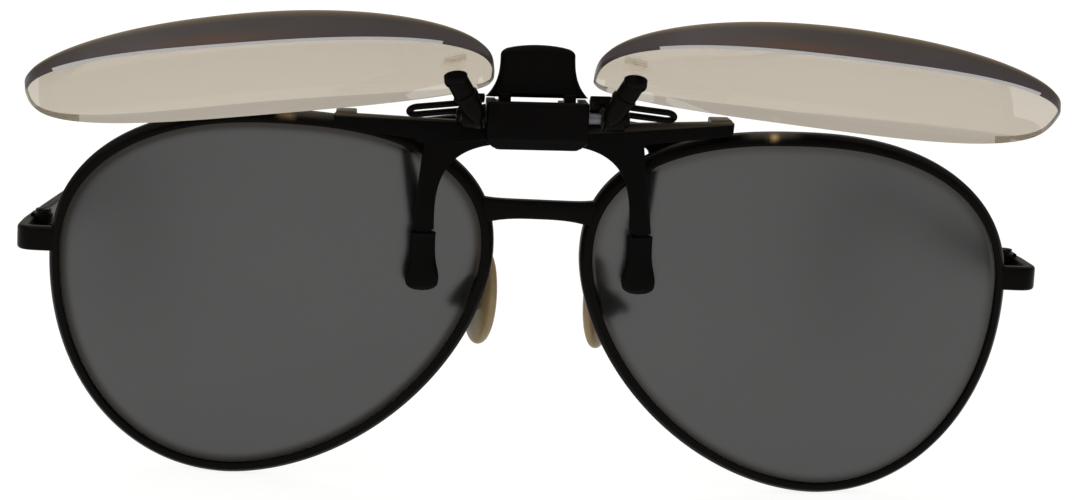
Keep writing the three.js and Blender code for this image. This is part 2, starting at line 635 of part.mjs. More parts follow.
const front = new THREE.Group();
for (const [word, side] of sides) {
  front.add(part(`eyewire_${word}`, rim(side), blackMetal()));
  front.add(part(`sun_lens_${word}`, sunLens(side), sunGrey()));
  front.add(part(`pad_arm_${word}`, padArm(side), blackMetal()));
  front.add(part(`nose_pad_${word}`, nosePad(side), padSilicone()));
  front.add(part(`endpiece_${word}`, endpiece(side), blackMetal()));
  front.add(part(`hinge_screw_${word}`, hingeScrew(side), steel()));
  front.add(part(`temple_${word}`, temple(side), blackMetal()));
}
front.add(part('bridge', bridge(), blackMetal()));

const rimBox = new THREE.Box3().setFromObject(front.getObjectByName('eyewire_right'));
const floor = rimBox.min.z;
for (const [word, side] of sides) {
  front.add(part(`temple_tip_${word}`, templeTip(side, floor), blackPlastic()));
}

// Clip: the front jaw stands just ahead of the rims and lenses, and everything else is placed from it.
// Points below are from the middle of the axle.
function rimReach(pick) {
  const position = front.getObjectByName('eyewire_right').geometry.attributes.position;
  const points = Array.from({ length: position.count }, (_, i) => v3().fromBufferAttribute(position, i));
  return Math[pick](...points.filter((p) => p.x < JAW_REACH && p.z > 0).map((p) => p.y));
}

// Front or back of the sun lens at a share of a sleeve's length above its tip
const clipTurn = new THREE.Matrix4().makeRotationY(CLIP_TILT);
const axleHeight = rimBox.max.z + AXLE_ABOVE_RIM;
function lensFaceAt(spread, share, back) {
  const spot = v3(spread, 0, share * SLEEVE_LENGTH - PRONG_DROP).applyMatrix4(clipTurn);
  const out = Math.abs(spot.x + CLIP_SHIFT) - EYE_GAP / 2 - EYE_WIDTH / 2;
  return onFront(1, out, spot.z + axleHeight, back).y;
}
const sleeveRooms = sides.map(([, side]) => (
  lensFaceAt(side * PRONG_SPREAD, 1, -SUN_LENS_THICKNESS / 2) - SLEEVE_WALL
));
const jawBack = Math.min(rimReach('min') - SEAT_GAP, ...sleeveRooms);
const rearJawFront = rimReach('max') + SEAT_GAP;
const axleAhead = JAW_THICKNESS + FACE_GAP + HOUSING_DEPTH / 2;
const axlePlace = v3(CLIP_SHIFT, jawBack - axleAhead, axleHeight);

const housingBack = HOUSING_DEPTH / 2;
const housingFront = -HOUSING_DEPTH / 2;
const plateFront = housingBack + FACE_GAP;
const plateBack = plateFront + JAW_THICKNESS;
const rearFront = rearJawFront - axlePlace.y;
const rearBack = rearFront + JAW_THICKNESS;
const cavityHalf = HOUSING_WIDTH / 2 - HOUSING_WALL;
const cavityFloor = HOUSING_FLOOR - HOUSING_BELOW_AXLE;
const barTop = -BAR_TOP_DROP;
const webHalf = HOUSING_WIDTH / 2;
const axleLine = v3(1, 0, 0);

// From the clip's own points to the front's, and back
const outOfClip = new THREE.Matrix4().makeTranslation(axlePlace).multiply(clipTurn);
const intoClip = outOfClip.clone().invert();

function alongX(from, to, radius, sidesCount = ROUND_SIDES) {
  return turned(v3(from, 0, 0), axleLine, [[0, radius], [to - from, radius]], sidesCount);
}

// A flat piece from half of its front view, mirrored; the half runs from top middle to bottom middle
function plate(halfPath, yFront, yBack, edge = 0.25) {
  const half = halfPath.getPoints(6).filter((p) => p.x > 1e-6);
  const mirrored = half.map((p) => new THREE.Vector2(-p.x, p.y)).reverse();
  const shape = new THREE.Shape([...half, ...mirrored]);
  const geometry = new THREE.ExtrudeGeometry(shape, {
    depth: yBack - yFront - 2 * edge,
    bevelThickness: edge,
    bevelSize: edge,
    bevelOffset: -edge,
    bevelSegments: 1,
    curveSegments: 6,
  });
  return geometry.rotateX(Math.PI / 2).translate(0, yBack - edge, 0);
}

function housingScrewPlace(side) {
  return v3(side * (cavityHalf - 1), 0, cavityFloor - HOUSING_FLOOR / 2);
}

// Hinge housing: a moulded block with a chamfered foot, open at the top and back round the axle
function hingeHousing() {
  const [top, foot] = [HOUSING_ABOVE_AXLE, -HOUSING_BELOW_AXLE];
  const lip = 0.5;
  const profile = [
    [housingFront + lip, top], [housingBack, top], [housingBack, foot],
    [housingFront + HOUSING_CHAMFER * 0.7, foot], [housingFront, foot + HOUSING_CHAMFER],
    [housingFront, top - lip],
  ];
  const half = HOUSING_WIDTH / 2;
  const ends = [[-half, 1], [lip - half, 0], [half - lip, 0], [half, 1]];
  const middle = v3(0, 0, (top + foot) / 2);
  const rings = ends.map(([x, inset]) => profile.map(([y, z]) => {
    const shrink = 1 - inset * 0.06;
    return v3(x, middle.y + (y - middle.y) * (y < 0 ? shrink : 1), middle.z + (z - middle.z) * shrink);
  }));
  const corner = (side) => {
    const reach = HOUSING_CORNER * 2;
    const prism = new THREE.BoxGeometry(reach, HOUSING_DEPTH * 2, reach).rotateY(Math.PI / 4);
    return prism.translate(side * half, 0, foot - reach * (Math.SQRT1_2 - 0.5));
  };
  const screwHole = (side) => turned(housingScrewPlace(side).setY(housingBack + FACE_GAP), v3(0, -1, 0), [
    [0, HOUSING_SCREW_RADIUS + TURN_GAP], [HOUSING_DEPTH * 0.7, HOUSING_SCREW_RADIUS + TURN_GAP],
  ], 12);
  const cavityFront = housingFront + HOUSING_WALL;
  return geometryOf(cut(
    solid(loft(rings)),
    block(v3(-cavityHalf, cavityFront, cavityFloor), v3(cavityHalf, housingBack + 1, top + 1)),
    alongX(-HOUSING_WIDTH, HOUSING_WIDTH, AXLE_RADIUS + TURN_GAP),
    corner(-1), corner(1), screwHole(-1), screwHole(1),
  ));
}

// The stretch of a prong inside its sleeve is narrower than the prong
const coreWidth = PRONG_WIDTH - 2 * SLEEVE_WALL;
const coreTop = SLEEVE_LENGTH - PRONG_DROP;
const coreFoot = SLEEVE_WALL * 2 - PRONG_DROP;

// Half of a jaw's front view: web, tapered bar and prong, with a tight corner outside the prong and a
// given curve from the prong's inner edge to the foot of the web
function jawHalf({ reach, endTop, rootTop, rootFoot, outer, foot, webTop, webFoot, innerCurve }) {
  const path = new THREE.Path();
  const corner = 0.6;
  path.moveTo(0.001, webTop);
  path.lineTo(webHalf, webTop);
  path.lineTo(webHalf + 1.2, rootTop);
  path.lineTo(reach - 0.5, endTop);
  path.quadraticCurveTo(reach, endTop, reach, endTop - 0.5);
  path.lineTo(reach - 0.2, endTop - BAR_END_HEIGHT);
  path.lineTo(outer + corner, rootFoot);
  path.quadraticCurveTo(outer, rootFoot, outer, rootFoot - corner);
  path.lineTo(foot + PRONG_WIDTH / 2, coreTop + 0.2);
  path.lineTo(foot + coreWidth / 2, coreTop);
  path.lineTo(foot + coreWidth / 2, coreFoot + coreWidth / 2);
  path.quadraticCurveTo(foot + coreWidth / 2, coreFoot, foot, coreFoot);
  path.quadraticCurveTo(foot - coreWidth / 2, coreFoot, foot - coreWidth / 2, coreFoot + coreWidth / 2);
  path.lineTo(foot - coreWidth / 2, coreTop);
  path.lineTo(foot - PRONG_WIDTH / 2, coreTop + 0.2);
  innerCurve(path, foot - PRONG_WIDTH / 2);
  path.lineTo(0.001, webFoot);
  return path;
}
const webFoot = -HOUSING_BELOW_AXLE;

// Front jaw: screwed to the back of the housing, with a shelf on each bar end that sits on the rim
const barEndTop = barTop + BAR_END_RISE;
function frontJaw() {
  const rootFoot = barTop - BAR_ROOT_HEIGHT;
  const wideFillet = (path, inner) => {
    path.lineTo(inner, coreTop + 2);
    path.bezierCurveTo(
      inner, rootFoot - FILLET_DROP,
      webHalf + FILLET_REACH, webFoot - FILLET_SAG,
      webHalf - HOUSING_CORNER, webFoot,
    );
  };
  const body = solid(plate(jawHalf({
    reach: JAW_REACH,
    endTop: barEndTop,
    rootTop: barTop,
    rootFoot,
    outer: PRONG_SPREAD + PRONG_WIDTH / 2 - PRONG_LEAN,
    foot: PRONG_SPREAD,
    webTop: barTop,
    webFoot,
    innerCurve: wideFillet,
  }), plateFront, plateBack));
  const shelf = (side) => {
    const outside = side * (JAW_REACH - SEAT_GAP);
    const inside = outside - side * SHELF_LENGTH;
    return block(
      v3(Math.min(inside, outside), plateFront + JAW_THICKNESS / 3, barEndTop - SHELF_DROP),
      v3(Math.max(inside, outside), rearFront - RIM_DEPTH / 2, barEndTop + SHELF_RISE),
    );
  };
  const hole = (side) => turned(housingScrewPlace(side).setY(plateFront - 1), v3(0, 1, 0), [
    [0, HOUSING_SCREW_RADIUS + TURN_GAP], [JAW_THICKNESS + 2, HOUSING_SCREW_RADIUS + TURN_GAP],
  ], 12);
  const rims = sides.map(([, side]) => rim(side, SEAT_GAP).applyMatrix4(intoClip));
  return geometryOf(cut(body.add(solid(shelf(-1))).add(solid(shelf(1))), hole(-1), hole(1), ...rims));
}

function housingScrew(side) {
  const length = HOUSING_DEPTH * 0.6;
  const foot = housingScrewPlace(side).setY(housingBack - length);
  const neck = plateBack - foot.y + FACE_GAP;
  return turned(foot, v3(0, 1, 0), [
    [0, HOUSING_SCREW_RADIUS], [neck, HOUSING_SCREW_RADIUS], [neck, 1.0], [neck + 0.45, 0.75],
  ], 12);
}

// Rear jaw: one lever with the pinch tab above the axle, two legs turning on it inside the housing,
// arms reaching back over the front jaw, and the prongs behind the lenses
function pinchTab() {
  const foot = HOUSING_ABOVE_AXLE + SEAT_GAP;
  const steps = 8;
  const centreY = TAB_THICKNESS / 2 + 0.6;
  return loft(Array.from({ length: steps + 1 }, (_, i) => {
    const share = i / steps;
    const flare = (TAB_FOOT_WIDTH - TAB_TOP_WIDTH) * (1 - share) ** 3.5;
    const crown = share > 0.86 ? 1 - 11 * (share - 0.86) ** 2 : 1;
    const half = (TAB_TOP_WIDTH + flare) / 2 * crown;
    const thick = TAB_THICKNESS * (1 - 0.25 * share) / 2;
    const edge = thick / 2;
    const z = foot + TAB_HEIGHT * share;
    const section = [
      [half - edge, thick], [half, thick - edge], [half, edge - thick], [half - edge, -thick],
      [0, -thick * 1.08],
      [edge - half, -thick], [-half, edge - thick], [-half, thick - edge], [edge - half, thick],
      [0, thick * 1.08],
    ];
    return section.map(([x, y]) => v3(x, centreY + y, z));
  }));
}

const armFoot = barTop + ARM_ABOVE_BAR;
function rearJaw() {
  const legs = sides.map(([, side]) => {
    const [a, b] = [side * LEG_INSIDE, side * (LEG_INSIDE + LEG_WIDTH)];
    const [low, high] = [Math.min(a, b), Math.max(a, b)];
    const lug = alongX(low, high, LUG_RADIUS);
    const postTop = HOUSING_ABOVE_AXLE + 3 * SEAT_GAP;
    const post = block(v3(low, -0.1, 0), v3(high, TAB_THICKNESS * 0.8 + 0.6, postTop));
    const arm = block(v3(low, 0, armFoot), v3(high, rearFront + 0.4, ARM_TOP));
    return [lug, post, arm];
  }).flat();
  const rootTop = REAR_TOP - 0.6;
  const innerRoot = REAR_PRONG_OUTSIDE - REAR_PRONG_ROOT;
  const tightCorner = (path) => {
    const corner = 1.2;
    path.lineTo(innerRoot, webFoot - 2 * corner);
    path.quadraticCurveTo(innerRoot, webFoot - corner / 2, innerRoot - corner, webFoot - corner / 2);
    path.lineTo(webHalf - HOUSING_CORNER, webFoot);
  };
  const backPlate = plate(jawHalf({
    reach: REAR_REACH,
    endTop: REAR_TOP - 2.2,
    rootTop,
    rootFoot: rootTop - REAR_ROOT_HEIGHT,
    outer: REAR_PRONG_OUTSIDE,
    foot: PRONG_SPREAD + REAR_TIP_OUT,
    webTop: REAR_TOP,
    webFoot,
    innerCurve: tightCorner,
  }), rearFront, rearBack);
  const heads = sides.map(([, side]) => {
    const [a, b] = [side * LEG_INSIDE, side * (LEG_INSIDE + LEG_WIDTH)];
    return block(v3(Math.min(a, b), rearFront, armFoot), v3(Math.max(a, b), rearBack, ARM_TOP));
  });
  const tabFoot = HOUSING_ABOVE_AXLE + SEAT_GAP;
  const arch = block(
    v3(-LEG_INSIDE, -1, tabFoot - 1),
    v3(LEG_INSIDE, 2 * TAB_THICKNESS + 1, tabFoot + TAB_ARCH),
  );
  const tab = solid(pinchTab()).subtract(solid(arch));
  return geometryOf(cut(
    tab.add(joined(...legs, ...heads, backPlate)),
    alongX(-HOUSING_WIDTH, HOUSING_WIDTH, AXLE_RADIUS + TURN_GAP),
  ));
}

// Rubber sleeve on a prong: a sock with a bulb at its foot, its pad reaching to the face that it grips
function sleeve(spread, yFront, yBack, padFrom, padTo) {
  const steps = 9;
  const count = 12;
  const middle = (padFrom + padTo) / 2;
  const rings = Array.from({ length: steps + 1 }, (_, i) => {
    const share = i / steps;
    const z = coreTop - SEAT_GAP / 2 - (SLEEVE_LENGTH - SEAT_GAP / 2) * share;
    const bulb = Math.exp(-(((share - 0.78) / 0.24) ** 2));
    const close = share > 0.88 ? Math.sqrt(Math.max(1 - ((share - 0.88) / 0.125) ** 2, 0.05)) : 1;
    const wide = close * (PRONG_WIDTH + 0.5 + (SLEEVE_BULB - PRONG_WIDTH - 0.5) * bulb) / 2;
    const plain = [yFront - SLEEVE_WALL, yBack + SLEEVE_WALL];
    const [near, far] = [plain[0] + (padFrom - plain[0]) * bulb, plain[1] + (padTo - plain[1]) * bulb];
    const centre = (near + far) / 2 + (middle - (near + far) / 2) * 0.2 * bulb;
    const deep = close * (far - near) / 2;
    return Array.from({ length: count }, (_, j) => {
      const angle = 2 * Math.PI * j / count;
      const [c, s] = [Math.cos(angle), Math.sin(angle)];
      const round = (value) => Math.sign(value) * Math.abs(value) ** 0.7;
      return v3(spread + wide * round(c), centre + deep * round(s), z);
    });
  });
  const [a, b] = [spread - coreWidth / 2 - FACE_GAP, spread + coreWidth / 2 + FACE_GAP];
  const bore = block(v3(a, yFront - FACE_GAP, coreFoot - FACE_GAP), v3(b, yBack + FACE_GAP, coreTop + 1));
  return geometryOf(cut(solid(loft(rings)), bore));
}

// Torsion spring round the axle: one wire with an arm bearing on the front jaw and an arm on the rear jaw
function springPoints() {
  const radius = AXLE_RADIUS + 0.33 + SPRING_WIRE_RADIUS;
  const length = SPRING_TURNS * SPRING_PITCH;
  const stepsPerTurn = 8;
  const steps = SPRING_TURNS * stepsPerTurn + stepsPerTurn / 2;
  const points = [];
  const armLow = v3(-length / 2 - SPRING_PITCH / 4, plateFront - SPRING_WIRE_RADIUS - FACE_GAP, -radius);
  for (const share of [0, 0.33, 0.67]) points.push(armLow.clone().setY(armLow.y * (1 - share)));
  for (let i = 0; i <= steps; i++) {
    const turn = i / stepsPerTurn;
    const angle = -Math.PI / 2 - 2 * Math.PI * turn;
    const x = -length / 2 - SPRING_PITCH / 4 + SPRING_PITCH * turn;
    points.push(v3(x, radius * Math.cos(angle), radius * Math.sin(angle)));
  }
  const last = points[points.length - 1];
  const armHigh = v3(last.x, rearFront + JAW_THICKNESS / 2, REAR_TOP + SPRING_WIRE_RADIUS + FACE_GAP);
  for (const share of [0.25, 0.5, 0.75, 1]) points.push(last.clone().lerp(armHigh, share));
  return points;
}

// Least gap of the spring wire to itself, between points more than half a turn apart along it
function leastGap(points, radius, apart) {
  let least = Infinity;
  for (let i = 0; i < points.length; i++) {
    for (let j = i + apart; j < points.length; j++) {
      least = Math.min(least, points[i].distanceTo(points[j]));
    }
  }
  return least - 2 * radius;
}

const springRoute = springPoints();
const springGap = leastGap(springRoute, SPRING_WIRE_RADIUS, 5);
console.log(`least gap of the jaw spring to itself ${springGap.toFixed(2)} mm`);

const clip = new THREE.Group();
clip.position.copy(axlePlace);
clip.rotation.y = CLIP_TILT;
clip.add(part('hinge_housing', hingeHousing(), blackPlastic()));
clip.add(part('front_jaw', frontJaw(), blackPlastic()));
clip.add(part('rear_jaw', rearJaw(), blackPlastic()));
clip.add(part('jaw_spring', sweep(springRoute, SPRING_WIRE_RADIUS, 5), steel()));
for (const [word, side] of sides) {
  const frontSpread = side * PRONG_SPREAD;
  const rearSpread = side * (PRONG_SPREAD + REAR_TIP_OUT);
  const lensFront = lensFaceAt(frontSpread, 0.25, -SUN_LENS_THICKNESS / 2) - SEAT_GAP - axlePlace.y;
  const lensBack = lensFaceAt(rearSpread, 0.25, SUN_LENS_THICKNESS / 2) + SEAT_GAP - axlePlace.y;
  clip.add(part(`housing_screw_${word}`, housingScrew(side), steel()));
  clip.add(part(
    `front_sleeve_${word}`,
    sleeve(frontSpread, plateFront, plateBack, plateFront - SLEEVE_WALL * 1.5, lensFront),
    rubber(),
  ));
  clip.add(part(
    `rear_sleeve_${word}`,
    sleeve(rearSpread, rearFront, rearBack, lensBack, rearBack + SLEEVE_WALL * 1.5),
    rubber(),
  ));
}

// Flip unit: axle, brackets and magnifying lenses, drawn hanging down about the axle
const flipShape = {
  width: FLIP_LENS_WIDTH,
  height: FLIP_LENS_HEIGHT,
  topShift: FLIP_LENS_TOP_SHIFT,
  templeRise: FLIP_LENS_TEMPLE_RISE,
  footShift: FLIP_LENS_FOOT_SHIFT,
  noseRise: FLIP_LENS_NOSE_RISE,
  fullness: FLIP_LENS_FULLNESS,
};
const flipLensMiddle = FLIP_LENS_ABOVE_AXLE - FLIP_LENS_HEIGHT / 2;

// A point of a flip lens: out and up from its box centre, and forward from its flat back
function onFlipLens(side, out, up, forward = 0) {
  const fromNose = out + FLIP_LENS_WIDTH / 2;
  const [c, s] = [Math.cos(FLIP_WRAP), Math.sin(FLIP_WRAP)];
  return v3(
    side * (FLIP_LENS_GAP / 2 + fromNose * c + forward * s),
    -FLIP_LENS_STANDOFF + fromNose * s - forward * c,
    flipLensMiddle + up,
  );
}
const flipForward = (side) => v3(side * Math.sin(FLIP_WRAP), -Math.cos(FLIP_WRAP), 0);
const flipThickness = (out, up) => FLIP_LENS_THICKNESS - (out * out + up * up) / (2 * FLIP_LENS_RADIUS);

const lensScrewOut = LENS_SCREW_IN - FLIP_LENS_WIDTH / 2;
const lensScrewUp = -LENS_SCREW_DROP - flipLensMiddle;
const lensScrewSeat = flipThickness(lensScrewOut, lensScrewUp) - LENS_SEAT_DEPTH;
const lensWasherRadius = LENS_SCREW_HEAD + 0.4;

function flipLens(side) {
  const edge = outline(flipShape, FLIP_LENS_STEPS);
  const inner = outline(flipShape, FLIP_LENS_STEPS, -LENS_EDGE_BEVEL);
  const face = (points, scale) => points.map((p) => {
    const [out, up] = [p.x * scale, p.y * scale];
    return onFlipLens(side, out, up, flipThickness(out, up));
  });
  const back = (points, scale) => points.map((p) => onFlipLens(side, p.x * scale, p.y * scale));
  const wall = (atBack) => edge.map((p) => {
    const thick = flipThickness(p.x, p.y);
    return onFlipLens(side, p.x, p.y, atBack ? LENS_EDGE_BEVEL : thick - LENS_EDGE_BEVEL);
  });
  const body = loft([
    face(inner, 0.35), face(inner, 0.7), face(inner, 1), wall(false),
    wall(true), back(inner, 1), back(inner, 0.6),
  ]);
  const hole = turned(onFlipLens(side, lensScrewOut, lensScrewUp, -1), flipForward(side), [
    [0, LENS_SCREW_RADIUS + TURN_GAP], [FLIP_LENS_THICKNESS + 2, LENS_SCREW_RADIUS + TURN_GAP],
  ], 12);
  const seat = turned(onFlipLens(side, lensScrewOut, lensScrewUp, lensScrewSeat), flipForward(side), [
    [0, lensWasherRadius + TURN_GAP], [FLIP_LENS_THICKNESS, lensWasherRadius + TURN_GAP],
  ]);
  return geometryOf(cut(solid(body), hole, seat));
}

const screwEnd = BOSS_HEIGHT + SCREW_BEYOND_BOSS;
function lensScrew(side) {
  const foot = onFlipLens(side, lensScrewOut, lensScrewUp, -screwEnd);
  const neck = screwEnd + lensScrewSeat + 3 * FACE_GAP + WASHER_THICKNESS;
  return turned(foot, flipForward(side), [
    [0, LENS_SCREW_RADIUS], [neck, LENS_SCREW_RADIUS], [neck, LENS_SCREW_HEAD],
    [neck + 0.4, LENS_SCREW_HEAD * 0.85], [neck + 0.65, LENS_SCREW_HEAD * 0.45],
  ]);
}

function lensWasher(side) {
  const foot = onFlipLens(side, lensScrewOut, lensScrewUp, lensScrewSeat + FACE_GAP);
  const ring = turned(foot, flipForward(side), [[0, lensWasherRadius], [WASHER_THICKNESS, lensWasherRadius]]);
  const bore = turned(foot.clone().addScaledVector(flipForward(side), -1), flipForward(side), [
    [0, LENS_SCREW_RADIUS + FACE_GAP], [WASHER_THICKNESS + 2, LENS_SCREW_RADIUS + FACE_GAP],
  ], 12);
  return geometryOf(cut(solid(ring), bore));
}

// Places along the axle, outwards from the housing
const washerFrom = HOUSING_WIDTH / 2 + Math.abs(FLIP_SLIDE) + FACE_GAP;
const bracketFrom = washerFrom + WASHER_THICKNESS + FACE_GAP;
const bracketTo = bracketFrom + BRACKET_WIDTH;
const axleBore = alongX(-2 * bracketTo, 2 * bracketTo, AXLE_RADIUS + FACE_GAP);

// The wire loop beside the bracket, parallel to the lens: two straight legs and a round end
function restPoints(side) {
  const [low, high] = [REST_RISE, REST_RISE + REST_WIDTH];
  const radius = REST_WIDTH / 2;
  const start = bracketTo - 1.2;
  const bendAt = bracketTo + REST_LENGTH - radius;
  const place = (x, z) => {
    const lensBack = -FLIP_LENS_STANDOFF + (x - FLIP_LENS_GAP / 2) * Math.tan(FLIP_WRAP);
    return v3(side * x, lensBack + REST_SETBACK, z);
  };
  const points = [place(start, low), place(bracketTo, low), place((bracketTo + bendAt) / 2, low)];
  for (let i = 0; i <= 10; i++) {
    const angle = -Math.PI / 2 + Math.PI * i / 10;
    points.push(place(bendAt + radius * Math.cos(angle), (low + high) / 2 + radius * Math.sin(angle)));
  }
  points.push(place((bracketTo + bendAt) / 2, high), place(bracketTo, high), place(start, high));
  return points;
}

// Lens bracket: a knuckle fixed on the axle, an ear that holds the wire loop, and a collared stud
// leaning out to the lens screw
function lensBracket(side) {
  const outwards = v3(side, 0, 0);
  const chamfer = 0.2;
  const knuckleBody = turned(v3(side * bracketFrom, 0, 0), outwards, [
    [0, BRACKET_RADIUS - chamfer], [chamfer, BRACKET_RADIUS],
    [BRACKET_WIDTH - chamfer, BRACKET_RADIUS], [BRACKET_WIDTH, BRACKET_RADIUS - chamfer],
  ]);
  const headSpace = turned(v3(side * bracketTo, 0, 0), outwards, [
    [0, AXLE_HEAD_RADIUS + TURN_GAP], [BRACKET_WIDTH, AXLE_HEAD_RADIUS + TURN_GAP],
  ]);
  const [a, b] = [side * bracketFrom, side * bracketTo];
  const earBend = (bracketFrom - FLIP_LENS_GAP / 2) * Math.tan(FLIP_WRAP);
  const earMiddle = REST_SETBACK - FLIP_LENS_STANDOFF + earBend;
  const earHalf = REST_WIRE_RADIUS + 0.4;
  const ear = block(
    v3(Math.min(a, b), earMiddle - earHalf, -earHalf),
    v3(Math.max(a, b), earMiddle + earHalf, REST_RISE + REST_WIDTH + earHalf),
  );
  const [lugIn, lugOut] = [side * (washerFrom + FACE_GAP), side * (bracketFrom + LENS_LUG)];
  const lug = block(
    v3(Math.min(lugIn, lugOut), earMiddle - LENS_LUG_REACH, -LENS_LUG),
    v3(Math.max(lugIn, lugOut), earMiddle, LENS_LUG),
  );
  const end = onFlipLens(side, lensScrewOut, lensScrewUp, -STUD_RADIUS / 2);
  const foot = v3(side * (bracketFrom + BRACKET_WIDTH * 0.3), 0.6, -1.8);
  const run = end.clone().sub(foot);
  const length = run.length();
  const stud = turned(foot, run, [
    [-0.6, STUD_RADIUS * 0.5], [0.6, STUD_RADIUS * 0.8], [length * 0.3, STUD_RADIUS],
    [length * 0.44, STUD_RADIUS], [length * 0.44 + 0.1, STUD_RADIUS + STUD_COLLAR],
    [length * 0.56, STUD_RADIUS + STUD_COLLAR], [length * 0.56 + 0.1, STUD_RADIUS],
    [length, STUD_RADIUS], [length + STUD_RADIUS * 0.6, STUD_RADIUS * 0.8],
    [length + STUD_RADIUS, STUD_RADIUS * 0.3],
  ]);
  const bossFoot = onFlipLens(side, lensScrewOut, lensScrewUp, -BOSS_HEIGHT - STUD_RADIUS);
  const boss = turned(bossFoot, flipForward(side), [
    [0, STUD_RADIUS], [BOSS_HEIGHT + STUD_RADIUS - SEAT_GAP, STUD_RADIUS],
  ]);
  const boreFoot = onFlipLens(side, lensScrewOut, lensScrewUp, -screwEnd - SEAT_GAP);
  const screwBore = turned(boreFoot, flipForward(side), [
    [0, LENS_SCREW_RADIUS + FACE_GAP], [screwEnd + 2, LENS_SCREW_RADIUS + FACE_GAP],
  ], 12);
  const lensFoot = onFlipLens(side, lensScrewOut, lensScrewUp, -SEAT_GAP);
  const lensSpace = turned(lensFoot, flipForward(side), [
    [0, 2 * FLIP_LENS_THICKNESS], [2 * FLIP_LENS_THICKNESS, 2 * FLIP_LENS_THICKNESS],
  ]);
  return geometryOf(cut(
    joined(knuckleBody, ear, lug, stud, boss),
    axleBore, headSpace,
    sweep(restPoints(side), REST_WIRE_RADIUS + FACE_GAP, 8),
    screwBore, lensSpace,
  ));
}

function frictionWasher(side) {
  const radius = BRACKET_RADIUS - FACE_GAP;
  const ring = turned(v3(side * washerFrom, 0, 0), v3(side, 0, 0), [[0, radius], [WASHER_THICKNESS, radius]]);
  return geometryOf(cut(solid(ring), axleBore));
}

function flipAxle() {
  const end = bracketTo + FACE_GAP + AXLE_HEAD_LENGTH;
  const head = [
    [0, AXLE_HEAD_RADIUS * 0.6], [AXLE_HEAD_LENGTH / 2, AXLE_HEAD_RADIUS * 0.92],
    [AXLE_HEAD_LENGTH, AXLE_HEAD_RADIUS], [AXLE_HEAD_LENGTH, AXLE_RADIUS],
  ];
  const tail = head.map(([at, radius]) => [2 * end - at, radius]).reverse();
  return turned(v3(-end, 0, 0), axleLine, [...head, ...tail]);
}

const flipUnit = new THREE.Group();
flipUnit.position.x = FLIP_SLIDE;
flipUnit.rotation.x = -FLIP_ANGLE;
flipUnit.add(part('flip_axle', flipAxle(), steel()));
for (const [word, side] of sides) {
  flipUnit.add(part(`flip_lens_${word}`, flipLens(side), clearLens()));
  flipUnit.add(part(`lens_bracket_${word}`, lensBracket(side), blackMetal()));
  flipUnit.add(part(`lens_screw_${word}`, lensScrew(side), clearNylon()));
  flipUnit.add(part(`lens_washer_${word}`, lensWasher(side), clearNylon()));
  flipUnit.add(part(`edge_rest_${word}`, sweep(restPoints(side), REST_WIRE_RADIUS, 8), blackMetal()));
  flipUnit.add(part(`friction_washer_${word}`, frictionWasher(side), steel()));
}
clip.add(flipUnit);

// The whole object stands on its rims and temple tips, its middle over the origin
const object = new THREE.Group();
object.add(front, clip);
object.updateMatrixWorld(true);
const wholeBox = new THREE.Box3().setFromObject(object);
const wholeMiddle = wholeBox.getCenter(v3());
object.position.set(-wholeMiddle.x, -wholeMiddle.y, -wholeBox.min.z);

export default object;
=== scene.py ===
import math
import bmesh
import bpy
import numpy as np
from mathutils import Matrix, Vector


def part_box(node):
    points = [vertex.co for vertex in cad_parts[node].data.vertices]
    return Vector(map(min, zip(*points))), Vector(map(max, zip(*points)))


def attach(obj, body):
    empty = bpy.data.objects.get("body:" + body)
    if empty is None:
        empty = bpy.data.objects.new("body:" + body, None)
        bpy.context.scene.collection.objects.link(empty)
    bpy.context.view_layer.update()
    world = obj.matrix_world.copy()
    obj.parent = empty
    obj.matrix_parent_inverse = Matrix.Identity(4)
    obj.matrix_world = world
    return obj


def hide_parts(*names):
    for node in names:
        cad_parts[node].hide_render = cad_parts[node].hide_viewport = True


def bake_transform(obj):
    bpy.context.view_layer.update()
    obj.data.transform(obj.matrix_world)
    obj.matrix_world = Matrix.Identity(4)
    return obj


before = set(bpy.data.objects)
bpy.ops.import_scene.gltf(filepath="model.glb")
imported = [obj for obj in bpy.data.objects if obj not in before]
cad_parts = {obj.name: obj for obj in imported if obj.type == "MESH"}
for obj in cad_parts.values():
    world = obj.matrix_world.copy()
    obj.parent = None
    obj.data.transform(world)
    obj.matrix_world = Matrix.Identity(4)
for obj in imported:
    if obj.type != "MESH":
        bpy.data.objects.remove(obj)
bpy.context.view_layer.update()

# Eyewires: the two drawn metal rims of the spectacles, lacquered black, each with a groove inside that
# takes the lens bevel. They follow the curve of the lenses, are wrapped round the face and lean back below.
# All lengths are in millimetres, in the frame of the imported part.
MILLIMETRE = 0.001
SIDES = (("left", -1), ("right", 1))
EYE_WIDTH, EYE_HEIGHT = 58.0, 49.6
EYE_OFF_MIDDLE = (-1.8, 3.8, 6.1, 8.0)
EYE_FULLNESS = (2.21, 2.35, 1.75, 2.13)
EYE_SHAPE = (EYE_WIDTH, EYE_HEIGHT, EYE_OFF_MIDDLE, EYE_FULLNESS)
EYE_GAP = 14.7
EYE_WRAP, EYE_LEAN = math.radians(5.7), math.radians(8)
BASE_CURVE = 90.0
FRONT_PLACE = np.array((0.0, -54.269, 25.472))
RIM_STEPS, RIM_ROUNDING = 260, 0.24
RIM_OUTSIDE, RIM_HALF = 1.35, 1.2
RIM_PROFILE = (
    (0.3, 0), (-0.3, 1), (0, RIM_HALF), (0.78, RIM_HALF), (RIM_OUTSIDE, 0.62),
    (RIM_OUTSIDE, -0.62), (0.78, -RIM_HALF), (0, -RIM_HALF), (-0.3, -1),
)
LACQUER_BLACK, LACQUER_WORN = (0.0014, 0.0012, 0.0011), (0.0042, 0.0034, 0.0028)
BARE_METAL = (0.1, 0.088, 0.07)
WEAR_FROM_MIDDLE, WEAR_REACH, WEAR_POWER = 31.0, 3.6, 6
